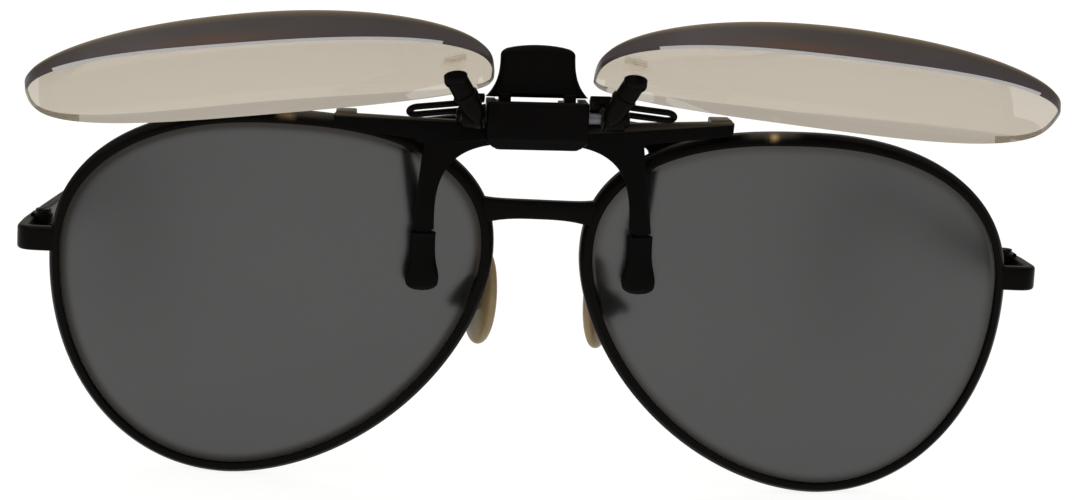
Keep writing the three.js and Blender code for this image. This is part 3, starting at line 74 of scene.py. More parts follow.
WEAR_SPOT, WEAR_SPREAD = (1.1, -0.5), (0.35, 0.7)
CHIP_BRASS = (0.95, 0.68, 0.32)
CHIP_FROM_MIDDLE, CHIP_SHOWS = {"left": 34.5, "right": 31.2}, {"left": 1.0, "right": 0.8}
CHIP_REACH, CHIP_POWER = 0.5, 2
CHIP_SPOT, CHIP_SPREAD = (0.9, -0.9), (0.4, 0.5)
SPECK_EDGE, SPECK_HEART = 0.16, 0.08
SPOTS_FROM, SPOTS_TO, GRAIN_STRENGTH = 0.3, 0.75, 0.6
LARGEST_SHARE, MERGE_METRES = 0.48, 1e-7


def lens_edge(shape, steps, margin=0.0):
    """Edge of a lens, seen from the front: four superellipse quarters, |x / a|^n + |z / b|^n = 1, between its
    highest, outermost, lowest and innermost points, all moved out by an even margin along the normal. A shape
    holds width, height, how far those four points lie off the middle, and the four powers n."""
    width, height, (top, temple, foot, nose), fullness = shape
    turn = (np.arange(steps) + 0.5) / steps
    quarter = np.floor(turn * 4).astype(int)
    across, up = np.cos(2 * np.pi * turn), np.sin(2 * np.pi * turn)
    middle_x = np.where(quarter < 2, top, foot)
    middle_z = np.where((quarter == 0) | (quarter == 3), temple, nose)
    power = 2 / np.array(fullness)[quarter]
    x = middle_x + (width / 2 - np.sign(across) * middle_x) * np.sign(across) * np.abs(across) ** power
    z = middle_z + (height / 2 - np.sign(up) * middle_z) * np.sign(up) * np.abs(up) ** power
    return moved_out(np.stack((x, z), -1), margin)


def moved_out(edge, margin):
    """A closed anticlockwise line, each point moved out square to the chord between its neighbours."""
    along = np.roll(edge, -1, 0) - np.roll(edge, 1, 0)
    along = along / np.linalg.norm(along, axis=1, keepdims=True)
    return edge + margin * np.stack((along[:, 1], -along[:, 0]), -1)


def on_front(side, edge, back):
    """Points of a lens edge on the spectacle front: the sphere x^2 + z^2 = 2 R y bends them back, then the
    wrap turns them about the nose side and the lean about the X axis."""
    edge = np.asarray(edge, float)
    out, up = edge[..., 0], edge[..., 1]
    depth = (out ** 2 + up ** 2 - ((EYE_WIDTH + EYE_HEIGHT) / 4) ** 2) / (2 * BASE_CURVE) + back
    from_nose = out + EYE_WIDTH / 2
    x = EYE_GAP / 2 + from_nose * math.cos(EYE_WRAP) - depth * math.sin(EYE_WRAP)
    y = from_nose * math.sin(EYE_WRAP) + depth * math.cos(EYE_WRAP)
    leant_y = y * math.cos(EYE_LEAN) - up * math.sin(EYE_LEAN)
    leant_z = y * math.sin(EYE_LEAN) + up * math.cos(EYE_LEAN)
    return np.stack((side * x, leant_y, leant_z), -1) + FRONT_PLACE


def soften(corners, radius, steps=4):
    """A closed line with each corner c replaced by the parabola from c towards its last neighbour to c
    towards its next: (1 - t)^2 a + 2 t (1 - t) c + t^2 b, where a and b lie at most one radius from c."""
    corners = np.asarray(corners, float)
    before, after = np.roll(corners, 1, 0) - corners, np.roll(corners, -1, 0) - corners
    reach = [radius / np.linalg.norm(way, axis=1) for way in (before, after)]
    shares = [np.minimum(LARGEST_SHARE, share)[:, None] for share in reach]
    first, last = corners + before * shares[0], corners + after * shares[1]
    t = np.linspace(0, 1, steps + 1)[None, :, None]
    curve = (1 - t) ** 2 * first[:, None] + 2 * t * (1 - t) * corners[:, None] + t ** 2 * last[:, None]
    return curve.reshape(-1, corners.shape[1])


def skin(rings, loop=False):
    """Points and faces of a surface through rings of equal count: one quad between each two neighbours, and a
    face over the first and the last ring unless the rings loop."""
    rings = np.asarray(rings, float)
    index = np.arange(rings.shape[0] * rings.shape[1]).reshape(rings.shape[:2])
    near = index if loop else index[:-1]
    far = np.roll(index, -1, 0) if loop else index[1:]
    quads = np.stack((near, np.roll(near, -1, 1), np.roll(far, -1, 1), far), -1).reshape(-1, 4).tolist()
    ends = [] if loop else [index[0][::-1].tolist(), index[-1].tolist()]
    return rings.reshape(-1, 3), quads + ends


def piece(name, skins, finish, body, node, sharp=42):
    """One object from one or more closed skins in millimetres: joined, doubles merged, faces turned outwards,
    smooth but for edges sharper than an angle in degrees. It rides on a body, if one is named, and stands for
    a node."""
    points, faces = [], []
    for skin_points, skin_faces in skins:
        start = sum(len(block) for block in points)
        faces += [[start + corner for corner in face] for face in skin_faces]
        points.append(skin_points)
    mesh = bpy.data.meshes.new(name)
    mesh.from_pydata((np.concatenate(points) * MILLIMETRE).tolist(), [], faces)
    work = bmesh.new()
    work.from_mesh(mesh)
    bmesh.ops.remove_doubles(work, verts=work.verts, dist=MERGE_METRES)
    bmesh.ops.recalc_face_normals(work, faces=work.faces)
    work.to_mesh(mesh)
    work.free()
    mesh.polygons.foreach_set("use_smooth", np.ones(len(mesh.polygons), bool))
    mesh.set_sharp_from_angle(angle=math.radians(sharp))
    mesh.materials.append(finish)
    made = bpy.data.objects.new(name, mesh)
    bpy.context.collection.objects.link(made)
    if body is not None:
        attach(made, body)
    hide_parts(node)
    return made


def wired(tree, kind, inputs=(), **settings):
    """Adds a node of a kind with its settings, gives each named input a link where its value is another
    node's output and the plain value otherwise, and hands back the node's outputs."""
    node = tree.nodes.new("ShaderNode" + kind)
    for label, value in settings.items():
        setattr(node, label, value)
    for label, value in dict(inputs).items():
        if isinstance(value, bpy.types.NodeSocket):
            tree.links.new(value, node.inputs[label])
        else:
            node.inputs[label].default_value = value
    return node.outputs


def marks_group():
    """Marks that every finish shares, from Object coordinates: Grain is fine noise, Cloud a slow drift, and
    Specks sparse dots of dust."""
    group = bpy.data.node_groups.new("surface_marks", "ShaderNodeTree")
    for label, value in (("Grain Scale", 6000.0), ("Cloud Scale", 90.0), ("Speck Scale", 900.0)):
        scale = group.interface.new_socket(label, in_out="INPUT", socket_type="NodeSocketFloat")
        scale.default_value = value
    for label in ("Grain", "Cloud", "Specks"):
        group.interface.new_socket(label, in_out="OUTPUT", socket_type="NodeSocketFloat")
    given = group.nodes.new("NodeGroupInput").outputs
    outlet = group.nodes.new("NodeGroupOutput")
    place = wired(group, "TexCoord")["Object"]
    for label, detail in (("Grain", 3.0), ("Cloud", 4.0)):
        scale = given[label + " Scale"]
        noise = wired(group, "TexNoise", {"Vector": place, "Scale": scale, "Detail": detail})
        group.links.new(noise["Fac"], outlet.inputs[label])
    dots = wired(group, "TexVoronoi", {"Vector": place, "Scale": given["Speck Scale"]})
    specks = wired(group, "MapRange", {
        "Value": dots["Distance"], "From Min": SPECK_EDGE, "From Max": SPECK_HEART,
    })
    group.links.new(specks["Result"], outlet.inputs["Specks"])
    return group


surface_marks = marks_group()


def new_finish(name, scales, sockets):
    """A material with the shared marks at their scales, and with the values that are the same all over set on
    its shader's own sockets. Hands back the material, its tree, its shader and the outputs of the marks."""
    material = bpy.data.materials.new(name)
    material.use_nodes = True
    tree = material.node_tree
    shader = tree.nodes["Principled BSDF"]
    for label, value in dict(sockets).items():
        shader.inputs[label].default_value = value
    return material, tree, shader, wired(tree, "Group", scales, node_tree=surface_marks)


def marked_finish(name, dark, light, rough, scales, grain_depth, speck_share=0.15, sockets=()):
    """A material whose colour drifts from dark to light and whose roughness lies between two values with the
    cloud and the specks, its fine grain raised by a bump of a depth in metres."""
    labelled = zip(("Grain Scale", "Cloud Scale", "Speck Scale"), scales)
    material, tree, shader, marks = new_finish(name, labelled, sockets)
    mixture = {0: marks["Specks"], 1: speck_share, 2: marks["Cloud"]}
    spots = wired(tree, "Math", mixture, operation="MULTIPLY_ADD")[0]
    tone = wired(tree, "Mix", {"A": (*dark, 1), "B": (*light, 1), "Factor": spots}, data_type="RGBA")
    gloss = wired(tree, "MapRange", {
        "Value": spots, "From Min": SPOTS_FROM, "From Max": SPOTS_TO, "To Min": rough[0], "To Max": rough[1],
    })
    bump = wired(tree, "Bump", {
        "Height": marks["Grain"], "Strength": GRAIN_STRENGTH, "Distance": grain_depth,
    })
    tree.links.new(tone["Result"], shader.inputs["Base Color"])
    tree.links.new(gloss["Result"], shader.inputs["Roughness"])
    tree.links.new(bump["Normal"], shader.inputs["Normal"])
    return material


def stain_or_painted_light(material, label, colour):
    """Lays a colour over a material's base colour, as much as a point attribute of the mesh says."""
    tree = material.node_tree
    base = tree.nodes["Principled BSDF"].inputs["Base Color"]
    amount = wired(tree, "Attribute", attribute_name=label)["Fac"]
    under = base.links[0].from_socket
    over = wired(tree, "Mix", {"A": under, "B": (*colour, 1), "Factor": amount}, data_type="RGBA")
    tree.links.new(over["Result"], base)


def point_values(made, label, values):
    """Writes one number for each point of a piece's mesh, for its material to read."""
    values = np.asarray(values, np.float32).ravel()
    made.data.attributes.new(label, "FLOAT", "POINT").data.foreach_set("value", values)


def along_upper_rim(rings, from_middle, reach, power):
    """How near each point lies to a place on the upper half of a rim: exp(-|x / reach|^power) along X."""
    away = (np.abs(rings[..., 0]) - from_middle) / reach
    return np.exp(-away ** power) * (rings[..., 2] > FRONT_PLACE[2])


def round_rim(spot, spread):
    """How near each point of the rim's profile lies to a spot of it: a bell curve along both axes."""
    return np.exp(-((rim_profile - spot) / spread) ** 2).prod(1)[:, None]


lacquer = marked_finish(
    "black_lacquer", LACQUER_BLACK, LACQUER_WORN, rough=(0.26, 0.4), scales=(5200, 120, 1100),
    grain_depth=4e-6, sockets={"Specular IOR Level": 0.04},
)
stain_or_painted_light(lacquer, "wear_and_sheen", BARE_METAL)
stain_or_painted_light(lacquer, "chip", CHIP_BRASS)
rim_profile = soften(RIM_PROFILE, RIM_ROUNDING)
for word, side in SIDES:
    edges = [on_front(side, lens_edge(EYE_SHAPE, RIM_STEPS, out), back) for out, back in rim_profile]
    rings = np.array(edges)
    rim = piece(
        f"rim_{word}", [skin(rings, loop=True)], lacquer, "spectacle_front", f"eyewire_{word}",
    )
    worn = along_upper_rim(rings, WEAR_FROM_MIDDLE, WEAR_REACH, WEAR_POWER)
    point_values(rim, "wear_and_sheen", worn * round_rim(WEAR_SPOT, WEAR_SPREAD))
    chipped = CHIP_SHOWS[word] * along_upper_rim(rings, CHIP_FROM_MIDDLE[word], CHIP_REACH, CHIP_POWER)
    point_values(rim, "chip", chipped * round_rim(CHIP_SPOT, CHIP_SPREAD))

# Sun lenses: cast resin, dyed an even grey right through, bent to the same sphere as the rims and edged
# with a V bevel that snaps into the groove. A brown band is painted along the bevel as painted reflection
# and shade of the rim seen in the lens, stronger on the left lens.
LENS_HALF, LENS_BEVEL, LENS_RINGS, FIRST_SHARE = 1.0, 0.6, 26, 0.02
LENS_GREY = (0.083, 0.083, 0.083)
RESIN_IOR, RESIN_DRIFT = 1.25, 0.03
BEVEL_SHADE_BROWN = (0.02, 0.0165, 0.012)
BEVEL_SHADE_SHOWS = {"left": 0.9, "right": 0.5}
BEVEL_SHADE_FULL, BEVEL_SHADE_FADE = 1.3, 0.8


def dyed_resin(name, tint, rough, cloud_scale, sockets=()):
    """A see-through material whose tint drifts by a small share with the cloud and whose roughness lies
    between two values with the specks."""
    even = {"Transmission Weight": 1.0, "IOR": RESIN_IOR, **dict(sockets)}
    material, tree, shader, marks = new_finish(name, {"Cloud Scale": cloud_scale}, even)
    deep, pale = [(*(share * part for part in tint), 1) for share in (1 - RESIN_DRIFT, 1 + RESIN_DRIFT)]
    tone = wired(tree, "Mix", {"A": deep, "B": pale, "Factor": marks["Cloud"]}, data_type="RGBA")
    gloss = wired(tree, "MapRange", {"Value": marks["Specks"], "To Min": rough[0], "To Max": rough[1]})
    tree.links.new(tone["Result"], shader.inputs["Base Color"])
    tree.links.new(gloss["Result"], shader.inputs["Roughness"])
    return material


def face_shares(count):
    """Shares of the way from the middle of a lens to its edge: sines of even steps, closest at the edge."""
    return np.sin(np.linspace(FIRST_SHARE, 1, count) * np.pi / 2)


sun_resin = dyed_resin(
    "sun_resin", LENS_GREY, rough=(0.43, 0.47), cloud_scale=40, sockets={"Specular IOR Level": 0.3},
)
# The "bevel" mark is painted reflection and shade: a brown band along the lens's edge, where the rim shows in
# it.
stain_or_painted_light(sun_resin, "bevel", BEVEL_SHADE_BROWN)
shares = face_shares(LENS_RINGS)
from_edge = np.concatenate((1 - shares, [0], 1 - shares[::-1])) * EYE_WIDTH / 2
# Painted shade: the brown band is full at the lens's edge and fades inwards.
shade = np.clip(BEVEL_SHADE_FULL - from_edge / BEVEL_SHADE_FADE, 0, 1)
for word, side in SIDES:
    flat = lens_edge(EYE_SHAPE, RIM_STEPS, -LENS_BEVEL)
    rings = [on_front(side, flat * share, -LENS_HALF) for share in shares]
    rings.append(on_front(side, lens_edge(EYE_SHAPE, RIM_STEPS), 0.0))
    rings += [on_front(side, flat * share, LENS_HALF) for share in shares[::-1]]
    lens = piece(
        f"grey_lens_{word}", [skin(rings)], sun_resin, "spectacle_front", f"sun_lens_{word}",
        sharp=30,
    )
    point_values(lens, "bevel", np.repeat(BEVEL_SHADE_SHOWS[word] * shade, RIM_STEPS))

# Bridge: a forged metal bar brazed between the rims, straight along the top and arched below, lacquered black
# with them.
BRIDGE_RISE = 14.0
BRIDGE_HALF_HEIGHT, BRIDGE_HALF_DEPTH, BRIDGE_ROUNDING = 1.3, 1.1, 0.6
BRIDGE_FLARE, BRIDGE_FLARE_POWER, BRIDGE_SHOULDER, BRIDGE_SHOULDER_POWER = 0.9, 3, 0.25, 6
BRIDGE_RINGS = 41
BRAZED_IN = 0.3


def rectangle(low_x, low_y, high_x, high_y):
    """The corners of a rectangle, anticlockwise from the lowest."""
    return [(low_x, low_y), (high_x, low_y), (high_x, high_y), (low_x, high_y)]


bridge_middle = on_front(1, (-EYE_WIDTH / 2, BRIDGE_RISE), 0.0)
bridge_reach = EYE_GAP / 2 + BRAZED_IN
rings = []
for share in np.linspace(-1, 1, BRIDGE_RINGS):
    foot = -BRIDGE_HALF_HEIGHT - BRIDGE_FLARE * abs(share) ** BRIDGE_FLARE_POWER
    head = BRIDGE_HALF_HEIGHT + BRIDGE_SHOULDER * abs(share) ** BRIDGE_SHOULDER_POWER
    line = soften(rectangle(-BRIDGE_HALF_DEPTH, foot, BRIDGE_HALF_DEPTH, head), BRIDGE_ROUNDING)
    shift = np.array((share * bridge_reach, bridge_middle[1], bridge_middle[2]))
    rings.append(np.insert(line, 0, 0.0, axis=1) + shift)
piece("bridge_bar", [skin(rings)], lacquer, "spectacle_front", "bridge")

# Pad arms: thin lacquered wires brazed to the back of each rim with a bead of solder, bent round to a small
# metal box that the pad clicks into.
PAD_SPREAD = {"left": -6.9, "right": 9.2}
PAD_SETBACK, PAD_RISE = 6.4, 0.4
PAD_LENGTH, PAD_WIDTH, PAD_THICKNESS, PAD_CLEARANCE = 13.5, 7.2, 2.6, 0.3
PAD_SPLAY, PAD_TILT = math.radians(62), math.radians(20)
PAD_WIRE, PAD_WIRE_SIDES, PAD_WIRE_STEPS, BEAD_SWELL = 0.55, 16, 9, 0.5
PAD_BOX, PAD_BOX_WIDTH, PAD_BOX_CORNER, PAD_BOX_ROUNDING = 1.5, 2.4, 0.5, 0.2
WIRE_FROM_WELD = ((0, -0.5, 0), (0.7, 0.8, 0.1), (1.2, 1.8, 0))
WIRE_TO_BOX = (1.4, 1.2, -0.6)


def unit(vector):
    """The vector at length one."""
    vector = np.asarray(vector, float)
    return vector / np.linalg.norm(vector, axis=-1, keepdims=True)


def pad_frame(word, side):
    """Middle of a pad and its three directions: out of its face to the nose, up its length, and across."""
    anchor = on_front(side, (-EYE_WIDTH / 2, PAD_RISE), 0.0)
    middle = np.array((PAD_SPREAD[word], anchor[1] + PAD_SETBACK, anchor[2]))
    face = np.array((-side * math.sin(PAD_SPLAY), math.cos(PAD_SPLAY), 0.0))
    up = np.array((-side * math.sin(PAD_TILT), 0.0, math.cos(PAD_TILT)))
    up = unit(up - face * up.dot(face))
    return middle, face, up, np.cross(up, face)


def behind_pad(middle, face, up, across):
    """A function that puts a flat line, drawn across and up, at a depth behind a pad's middle."""
    return lambda line, depth: middle - face * depth + line[:, :1] * across + line[:, 1:] * up


def carried(path, section, across, sizes=1.0):
    """A flat section, in across and up, carried along a path and scaled by sizes: its across direction stays
    square to the path and as near as can be to a given one, and up is the path's way crossed with it."""
    path = np.asarray(path, float)
    along = unit(np.gradient(path, axis=0))
    across = np.broadcast_to(np.asarray(across, float), path.shape)
    wide = unit(across - along * (across * along).sum(1, keepdims=True))
    high = np.cross(along, wide)
    spread = np.asarray(section, float)[None] * sizes
    return path[:, None] + spread[..., :1] * wide[:, None] + spread[..., 1:] * high[:, None]


def spline(points, steps):
    """A smooth line through points: between each two, the cubic whose slope at a point is half the step from
    its last neighbour to its next."""
    points = np.asarray(points, float)
    ends = np.concatenate((2 * points[:1] - points[1:2], points, 2 * points[-1:] - points[-2:-1]))
    slope = (ends[2:] - ends[:-2]) / 2
    t = np.linspace(0, 1, steps, endpoint=False)[None, :, None]
    a, b, from_slope, to_slope = points[:-1, None], points[1:, None], slope[:-1, None], slope[1:, None]
    curve = a * (1 + 2 * t) * (1 - t) ** 2 + from_slope * t * (1 - t) ** 2
    curve = curve + b * t ** 2 * (3 - 2 * t) + to_slope * t ** 2 * (t - 1)
    return np.concatenate((curve.reshape(-1, 3), points[-1:]))


def circle(count, radius=1.0):
    """Points round a circle, anticlockwise."""
    angle = 2 * np.pi * np.arange(count) / count
    return radius * np.stack((np.cos(angle), np.sin(angle)), -1)


def slab(outline, depths, rounding, place, steps=4):
    """A plate: a closed flat outline between two depths, its edges rolled in by a quarter circle of the
    rounding radius, and put in space by a function of the outline's points and the depth."""
    turn = np.linspace(0, np.pi / 2, steps + 1)
    low, high = depths
    insets = np.concatenate((rounding * (1 - np.sin(turn)), rounding * (1 - np.sin(turn[::-1]))))
    rolls = rounding * (1 - np.cos(turn))
    levels = np.concatenate((low + rolls, high - rolls[::-1]))
    return skin([place(moved_out(outline, -inset), level) for inset, level in zip(insets, levels)])


wire_round = circle(PAD_WIRE_SIDES, PAD_WIRE)
bead_sizes = 1 + BEAD_SWELL * np.cos(np.linspace(0, np.pi / 2, PAD_WIRE_STEPS))
box_edge = soften(rectangle(-PAD_BOX_WIDTH / 2, -PAD_BOX, PAD_BOX_WIDTH / 2, PAD_BOX), PAD_BOX_CORNER)
for word, side in SIDES:
    middle, face, up, across = pad_frame(word, side)
    mouth = PAD_THICKNESS / 2 + PAD_CLEARANCE
    box_back = middle - face * (mouth + PAD_BOX)
    back_edge = on_front(side, lens_edge(EYE_SHAPE, RIM_STEPS), RIM_HALF)
    weld_height = on_front(side, (-EYE_WIDTH / 2, PAD_RISE + PAD_LENGTH / 4), 0.0)[2]
    nose_side = back_edge[np.abs(back_edge[:, 0]) < EYE_WIDTH / 2]
    weld = nose_side[np.abs(nose_side[:, 2] - weld_height).argmin()]
    mirror = np.array((side, 1, 1))
    route = spline([
        *(weld + mirror * step for step in WIRE_FROM_WELD),
        box_back + mirror * WIRE_TO_BOX,
        box_back + face * PAD_BOX / 2,
    ], PAD_WIRE_STEPS)
    wire = skin(carried(route, wire_round, (0, 0, 1)))
    bead = skin(carried(route[:PAD_WIRE_STEPS], wire_round, (0, 0, 1), bead_sizes[:, None, None]))
    box = slab(box_edge, (mouth, mouth + PAD_BOX), PAD_BOX_ROUNDING, behind_pad(middle, face, up, across))
    piece(
        f"pad_wire_{word}", [wire, bead, box], lacquer, "spectacle_front", f"pad_arm_{word}",
    )

# Nose pads: soft moulded silicone, milky and warm, egg shaped and crowned, with a moulded tongue on the back
# that rocks in the arm's box. A darker core shows through the middle.
PAD_EGG, PAD_CROWN, PAD_BACK_CROWN = 0.14, 0.10, 0.4
PAD_POINTS, PAD_RINGS, PAD_FULLNESS, PAD_POLE = 72, 27, 2.6, 0.07
TONGUE_HALF_WIDTH, TONGUE_HALF_HEIGHT, TONGUE_REACH = 0.45, 0.9, 1.2
TONGUE_CORNER, TONGUE_ROUNDING = 0.25, 0.12
SILICONE, SILICONE_AGED = (0.35, 0.268, 0.135), (0.225, 0.165, 0.075)
PAD_CORE = (0.07, 0.045, 0.022)
CORE_HALF_WIDTH, CORE_HALF_LENGTH, CORE_END_POWER, CORE_SHOWS = 1.0, 4.6, 6, 0.7


def points_of(made):
    """The points of a piece's mesh, in millimetres."""
    points = np.empty(3 * len(made.data.vertices), np.float32)
    made.data.vertices.foreach_get("co", points)
    return points.reshape(-1, 3).astype(float) / MILLIMETRE


silicone = marked_finish(
    "pad_silicone", SILICONE, SILICONE_AGED, rough=(0.3, 0.45), scales=(3500, 260, 700), grain_depth=8e-6,
    speck_share=0.3,
    sockets={"Subsurface Weight": 0.35, "Subsurface Radius": (0.002, 0.0014, 0.001), "Subsurface Scale": 1.0},
)
stain_or_painted_light(silicone, "core", PAD_CORE)
turn = 2 * np.pi * np.arange(PAD_POINTS) / PAD_POINTS
pad_across = PAD_WIDTH / 2 * np.cos(turn) * (1 - PAD_EGG * np.sin(turn))
pad_up = PAD_LENGTH / 2 * np.sin(turn)
tongue_edge = soften(
    rectangle(-TONGUE_HALF_WIDTH, -TONGUE_HALF_HEIGHT, TONGUE_HALF_WIDTH, TONGUE_HALF_HEIGHT), TONGUE_CORNER,
)
tongue_depths = (PAD_THICKNESS / 4, PAD_THICKNESS / 2 + TONGUE_REACH)
for word, side in SIDES:
    middle, face, up, across = pad_frame(word, side)
    rings = []
    for share in np.linspace(-1, 1, PAD_RINGS):
        spread = max(1 - abs(share) ** PAD_FULLNESS, 0.0) ** 0.5 * (1 - PAD_POLE) + PAD_POLE
        crown = PAD_CROWN * np.cos(turn) ** 2 * (1 if share > 0 else PAD_BACK_CROWN)
        rings.append(
            middle
            + across * (spread * pad_across)[:, None]
            + up * (spread * pad_up)[:, None]
            + face * (share * PAD_THICKNESS / 2 - crown * spread)[:, None]
        )
    tongue = slab(tongue_edge, tongue_depths, TONGUE_ROUNDING, behind_pad(middle, face, up, across))
    pad = piece(
        f"soft_pad_{word}", [skin(rings), tongue], silicone, f"nose_pad_{word}", f"nose_pad_{word}",
        sharp=50,
    )
    from_middle = points_of(pad) - middle
    core = np.exp(-((from_middle @ across) / CORE_HALF_WIDTH) ** 2)
    core = core * np.exp(-((from_middle @ up) / CORE_HALF_LENGTH) ** CORE_END_POWER)
    point_values(pad, "core", CORE_SHOWS * core)

# Endpieces: flat lacquered bars brazed to the outer side of each rim and bent back at the corner, with the
# middle knuckle of the hinge brazed on their end.
HINGE_RISE, HINGE_SETBACK, HINGE_HEIGHT, HINGE_INSET = 5.6, 9.5, 4.2, 0.9
KNUCKLE_RADIUS, HINGE_BORE = 1.35, 0.75
END_REACH, END_THICKNESS, END_HEIGHT, END_TURN, END_ROUNDING = 4.6, 1.7, 3.4, 2.2, 0.55
NECK_SHARE, NECK_STOP, NECK_CORNER, WEB_ROUNDING = 0.6, 0.95, 0.2, 0.1
TURN_GAP = 0.15

temple_point = on_front(1, (EYE_WIDTH / 2, HINGE_RISE), 0.0)
bar_middle = temple_point[0] + RIM_OUTSIDE + END_REACH - END_THICKNESS / 2
hinge_x = bar_middle - END_THICKNESS / 2 - HINGE_INSET
hinge_y, hinge_z = temple_point[1] + HINGE_SETBACK, temple_point[2]
temple_front = hinge_y - KNUCKLE_RADIUS - TURN_GAP
knuckle_half = HINGE_HEIGHT / 6


def turned(foot, axis, profile, count=48):
    """A lathe form: pairs of distance along an axis and radius, turned round it from a foot point."""
    along = unit(axis)
    helper = np.array((0.0, 0.0, 1.0)) if abs(along[2]) < 0.9 else np.array((1.0, 0.0, 0.0))
    wide = unit(np.cross(helper, along))
    ring = circle(count)[:, :1] * wide + circle(count)[:, 1:] * np.cross(along, wide)
    at, radius = np.asarray(profile, float).T
    return np.asarray(foot, float) + at[:, None, None] * along + radius[:, None, None] * ring


def bushing(foot, axis, length, radius, bore, edge=0.12, steps=3):
    """Rings that loop into a hollow cylinder: a rectangle from the bore to the radius, its corners softened,
    turned round an axis."""
    return turned(foot, axis, soften(rectangle(0, bore, length, radius), edge, steps))


def bent_path(start, corner, end, before, after, steps=14):
    """A line to a corner, the parabola round it from one given length to another, and a line on."""
    start, corner, end = (np.asarray(point, float) for point in (start, corner, end))
    first, last = corner + unit(start - corner) * before, corner + unit(end - corner) * after
    t = np.linspace(0, 1, steps)[:, None]
    curve = (1 - t) ** 2 * first + 2 * t * (1 - t) * corner + t ** 2 * last
    lead = start + (first - start) * np.linspace(0, 1, steps, endpoint=False)[:, None]
    tail = last + (end - last) * np.linspace(0, 1, steps + 1)[1:, None]
    return np.concatenate((lead, curve, tail))


def lying(side):
    """A function that puts a flat line, drawn on the right side, level at a height, mirrored for the left."""
    return lambda line, level: np.stack((side * line[:, 0], line[:, 1], np.full(len(line), level)), -1)


bar_end = temple_front - TURN_GAP
neck = KNUCKLE_RADIUS * NECK_SHARE
neck_line = soften([
    (hinge_x - neck, bar_end - KNUCKLE_RADIUS), (bar_middle, bar_end - KNUCKLE_RADIUS), (bar_middle, bar_end),
    (hinge_x + neck, bar_end), (hinge_x + neck, hinge_y - NECK_STOP), (hinge_x - neck, hinge_y - NECK_STOP),
], NECK_CORNER, 3)
bar_high, bar_deep = END_HEIGHT / 2, END_THICKNESS / 2
bar_line = soften(rectangle(-bar_high, -bar_deep, bar_high, bar_deep), END_ROUNDING)
low, high = hinge_z - knuckle_half + TURN_GAP / 2, hinge_z + knuckle_half - TURN_GAP / 2
for word, side in SIDES:
    start = (side * (temple_point[0] + BRAZED_IN), temple_point[1], hinge_z)
    elbow = (side * bar_middle, temple_point[1], hinge_z)
    stop = (side * bar_middle, bar_end, hinge_z)
    bar = skin(carried(bent_path(start, elbow, stop, END_TURN, END_TURN), bar_line, (0, 0, 1)))
    foot = (side * hinge_x, hinge_y, low)
    knuckle = skin(bushing(foot, (0, 0, 1), high - low, KNUCKLE_RADIUS, HINGE_BORE), loop=True)
    web = slab(neck_line, (low, high), WEB_ROUNDING, lying(side))
    piece(
        f"end_bar_{word}", [bar, knuckle, web], lacquer, "spectacle_front", f"endpiece_{word}",
    )

# Hinge screws: small blued steel pins with a slotted head, turned on a lathe and dropped in from above
# through the three knuckles.
PIN_POINT, PIN_RADIUS, PIN_CHAMFER = 0.45, 0.6, 0.12
PIN_HEAD, PIN_HEAD_HEIGHT, PIN_SLOT, PIN_SLOT_TURN, PIN_SIDES = 1.12, 0.5, 0.32, 0.4, 32
SLOT_FLOOR, FLOOR_LAP, FLOOR_TAPER = 0.4, 0.42, 0.99
HEAD_ARC_STEPS, HEAD_CORNER, HEAD_ROUNDING = 24, 0.04, 0.1
BLUED_DARK, BLUED_LIGHT = (0.003, 0.003, 0.0035), (0.01, 0.0095, 0.0095)
STEEL_MARKS, STEEL_GRAIN = (4200, 700, 1600), 3e-6


def slotted_head(seat, axis, radius, height, slot, across):
    """A screw head: a floor disc under two D shaped plates, each an arc closed by a chord along the slot. The
    floor and the roundings are shares of the height and of the radius."""
    along = unit(axis)
    wide = unit(np.asarray(across, float) - along * np.dot(across, along))
    deep = np.cross(along, wide)
    limit = math.acos(slot / 2 / radius)
    arc = np.linspace(-limit, limit, HEAD_ARC_STEPS)
    d_line = soften(radius * np.stack((np.cos(arc), np.sin(arc)), -1), radius * HEAD_CORNER, 2)

    def half_head(turn):
        """A function that puts the D line at a depth, on one side of the slot or the other."""
        return lambda line, depth: seat + along * depth + turn * (line[:, :1] * wide + line[:, 1:] * deep)

    depths = (height * SLOT_FLOOR, height)
    halves = [slab(d_line, depths, radius * HEAD_ROUNDING, half_head(turn)) for turn in (1, -1)]
    floor = skin(turned(seat, along, [(0, radius), (height * FLOOR_LAP, radius * FLOOR_TAPER)]))
    return [floor, *halves]


blued = marked_finish(
    "blued_steel", BLUED_DARK, BLUED_LIGHT, rough=(0.3, 0.45), scales=STEEL_MARKS,
    grain_depth=STEEL_GRAIN, sockets={"Specular IOR Level": 0.08},
)
pin_length = HINGE_HEIGHT + TURN_GAP
pin_profile = [(0, PIN_POINT), (PIN_CHAMFER, PIN_RADIUS), (pin_length, PIN_RADIUS)]
for word, side in SIDES:
    foot = np.array((side * hinge_x, hinge_y, hinge_z - HINGE_HEIGHT / 2))
    shank = skin(turned(foot, (0, 0, 1), pin_profile, PIN_SIDES))
    head_foot = foot + (0, 0, pin_length)
    slot_way = (1, side * PIN_SLOT_TURN, 0)
    head = slotted_head(head_foot, (0, 0, 1), PIN_HEAD, PIN_HEAD_HEIGHT, PIN_SLOT, slot_way)
    piece(f"hinge_pin_{word}", [shank, *head], blued, "spectacle_front", f"hinge_screw_{word}")

# Temples: flat spring-metal bars, lacquered black, thinning to a square core inside the ear tip, with the
# upper and lower knuckles of the hinge brazed to the front end.
TEMPLE_LENGTH, TEMPLE_INSET, TEMPLE_STEPS, TEMPLE_ROUNDING = 96.0, 5.0, 241, 0.2
EAR_LENGTH, EAR_ANGLE, EAR_BEND, EAR_BEND_STEPS = 38.9, math.radians(53), 11.0, 40
TEMPLE_SIZE, CORE_SIZE = np.array((1.5, 3.4)), np.array((1.5, 1.5))
TIP_COVER, CORE_SHORT_OF_END, THINNING_POWER = 26.0, 5.8, 1.5
WEB_FRONT, WEB_BACK, WEB_OUTSIDE, WEB_CORNER = 0.9, 1.9, -0.6, 0.25


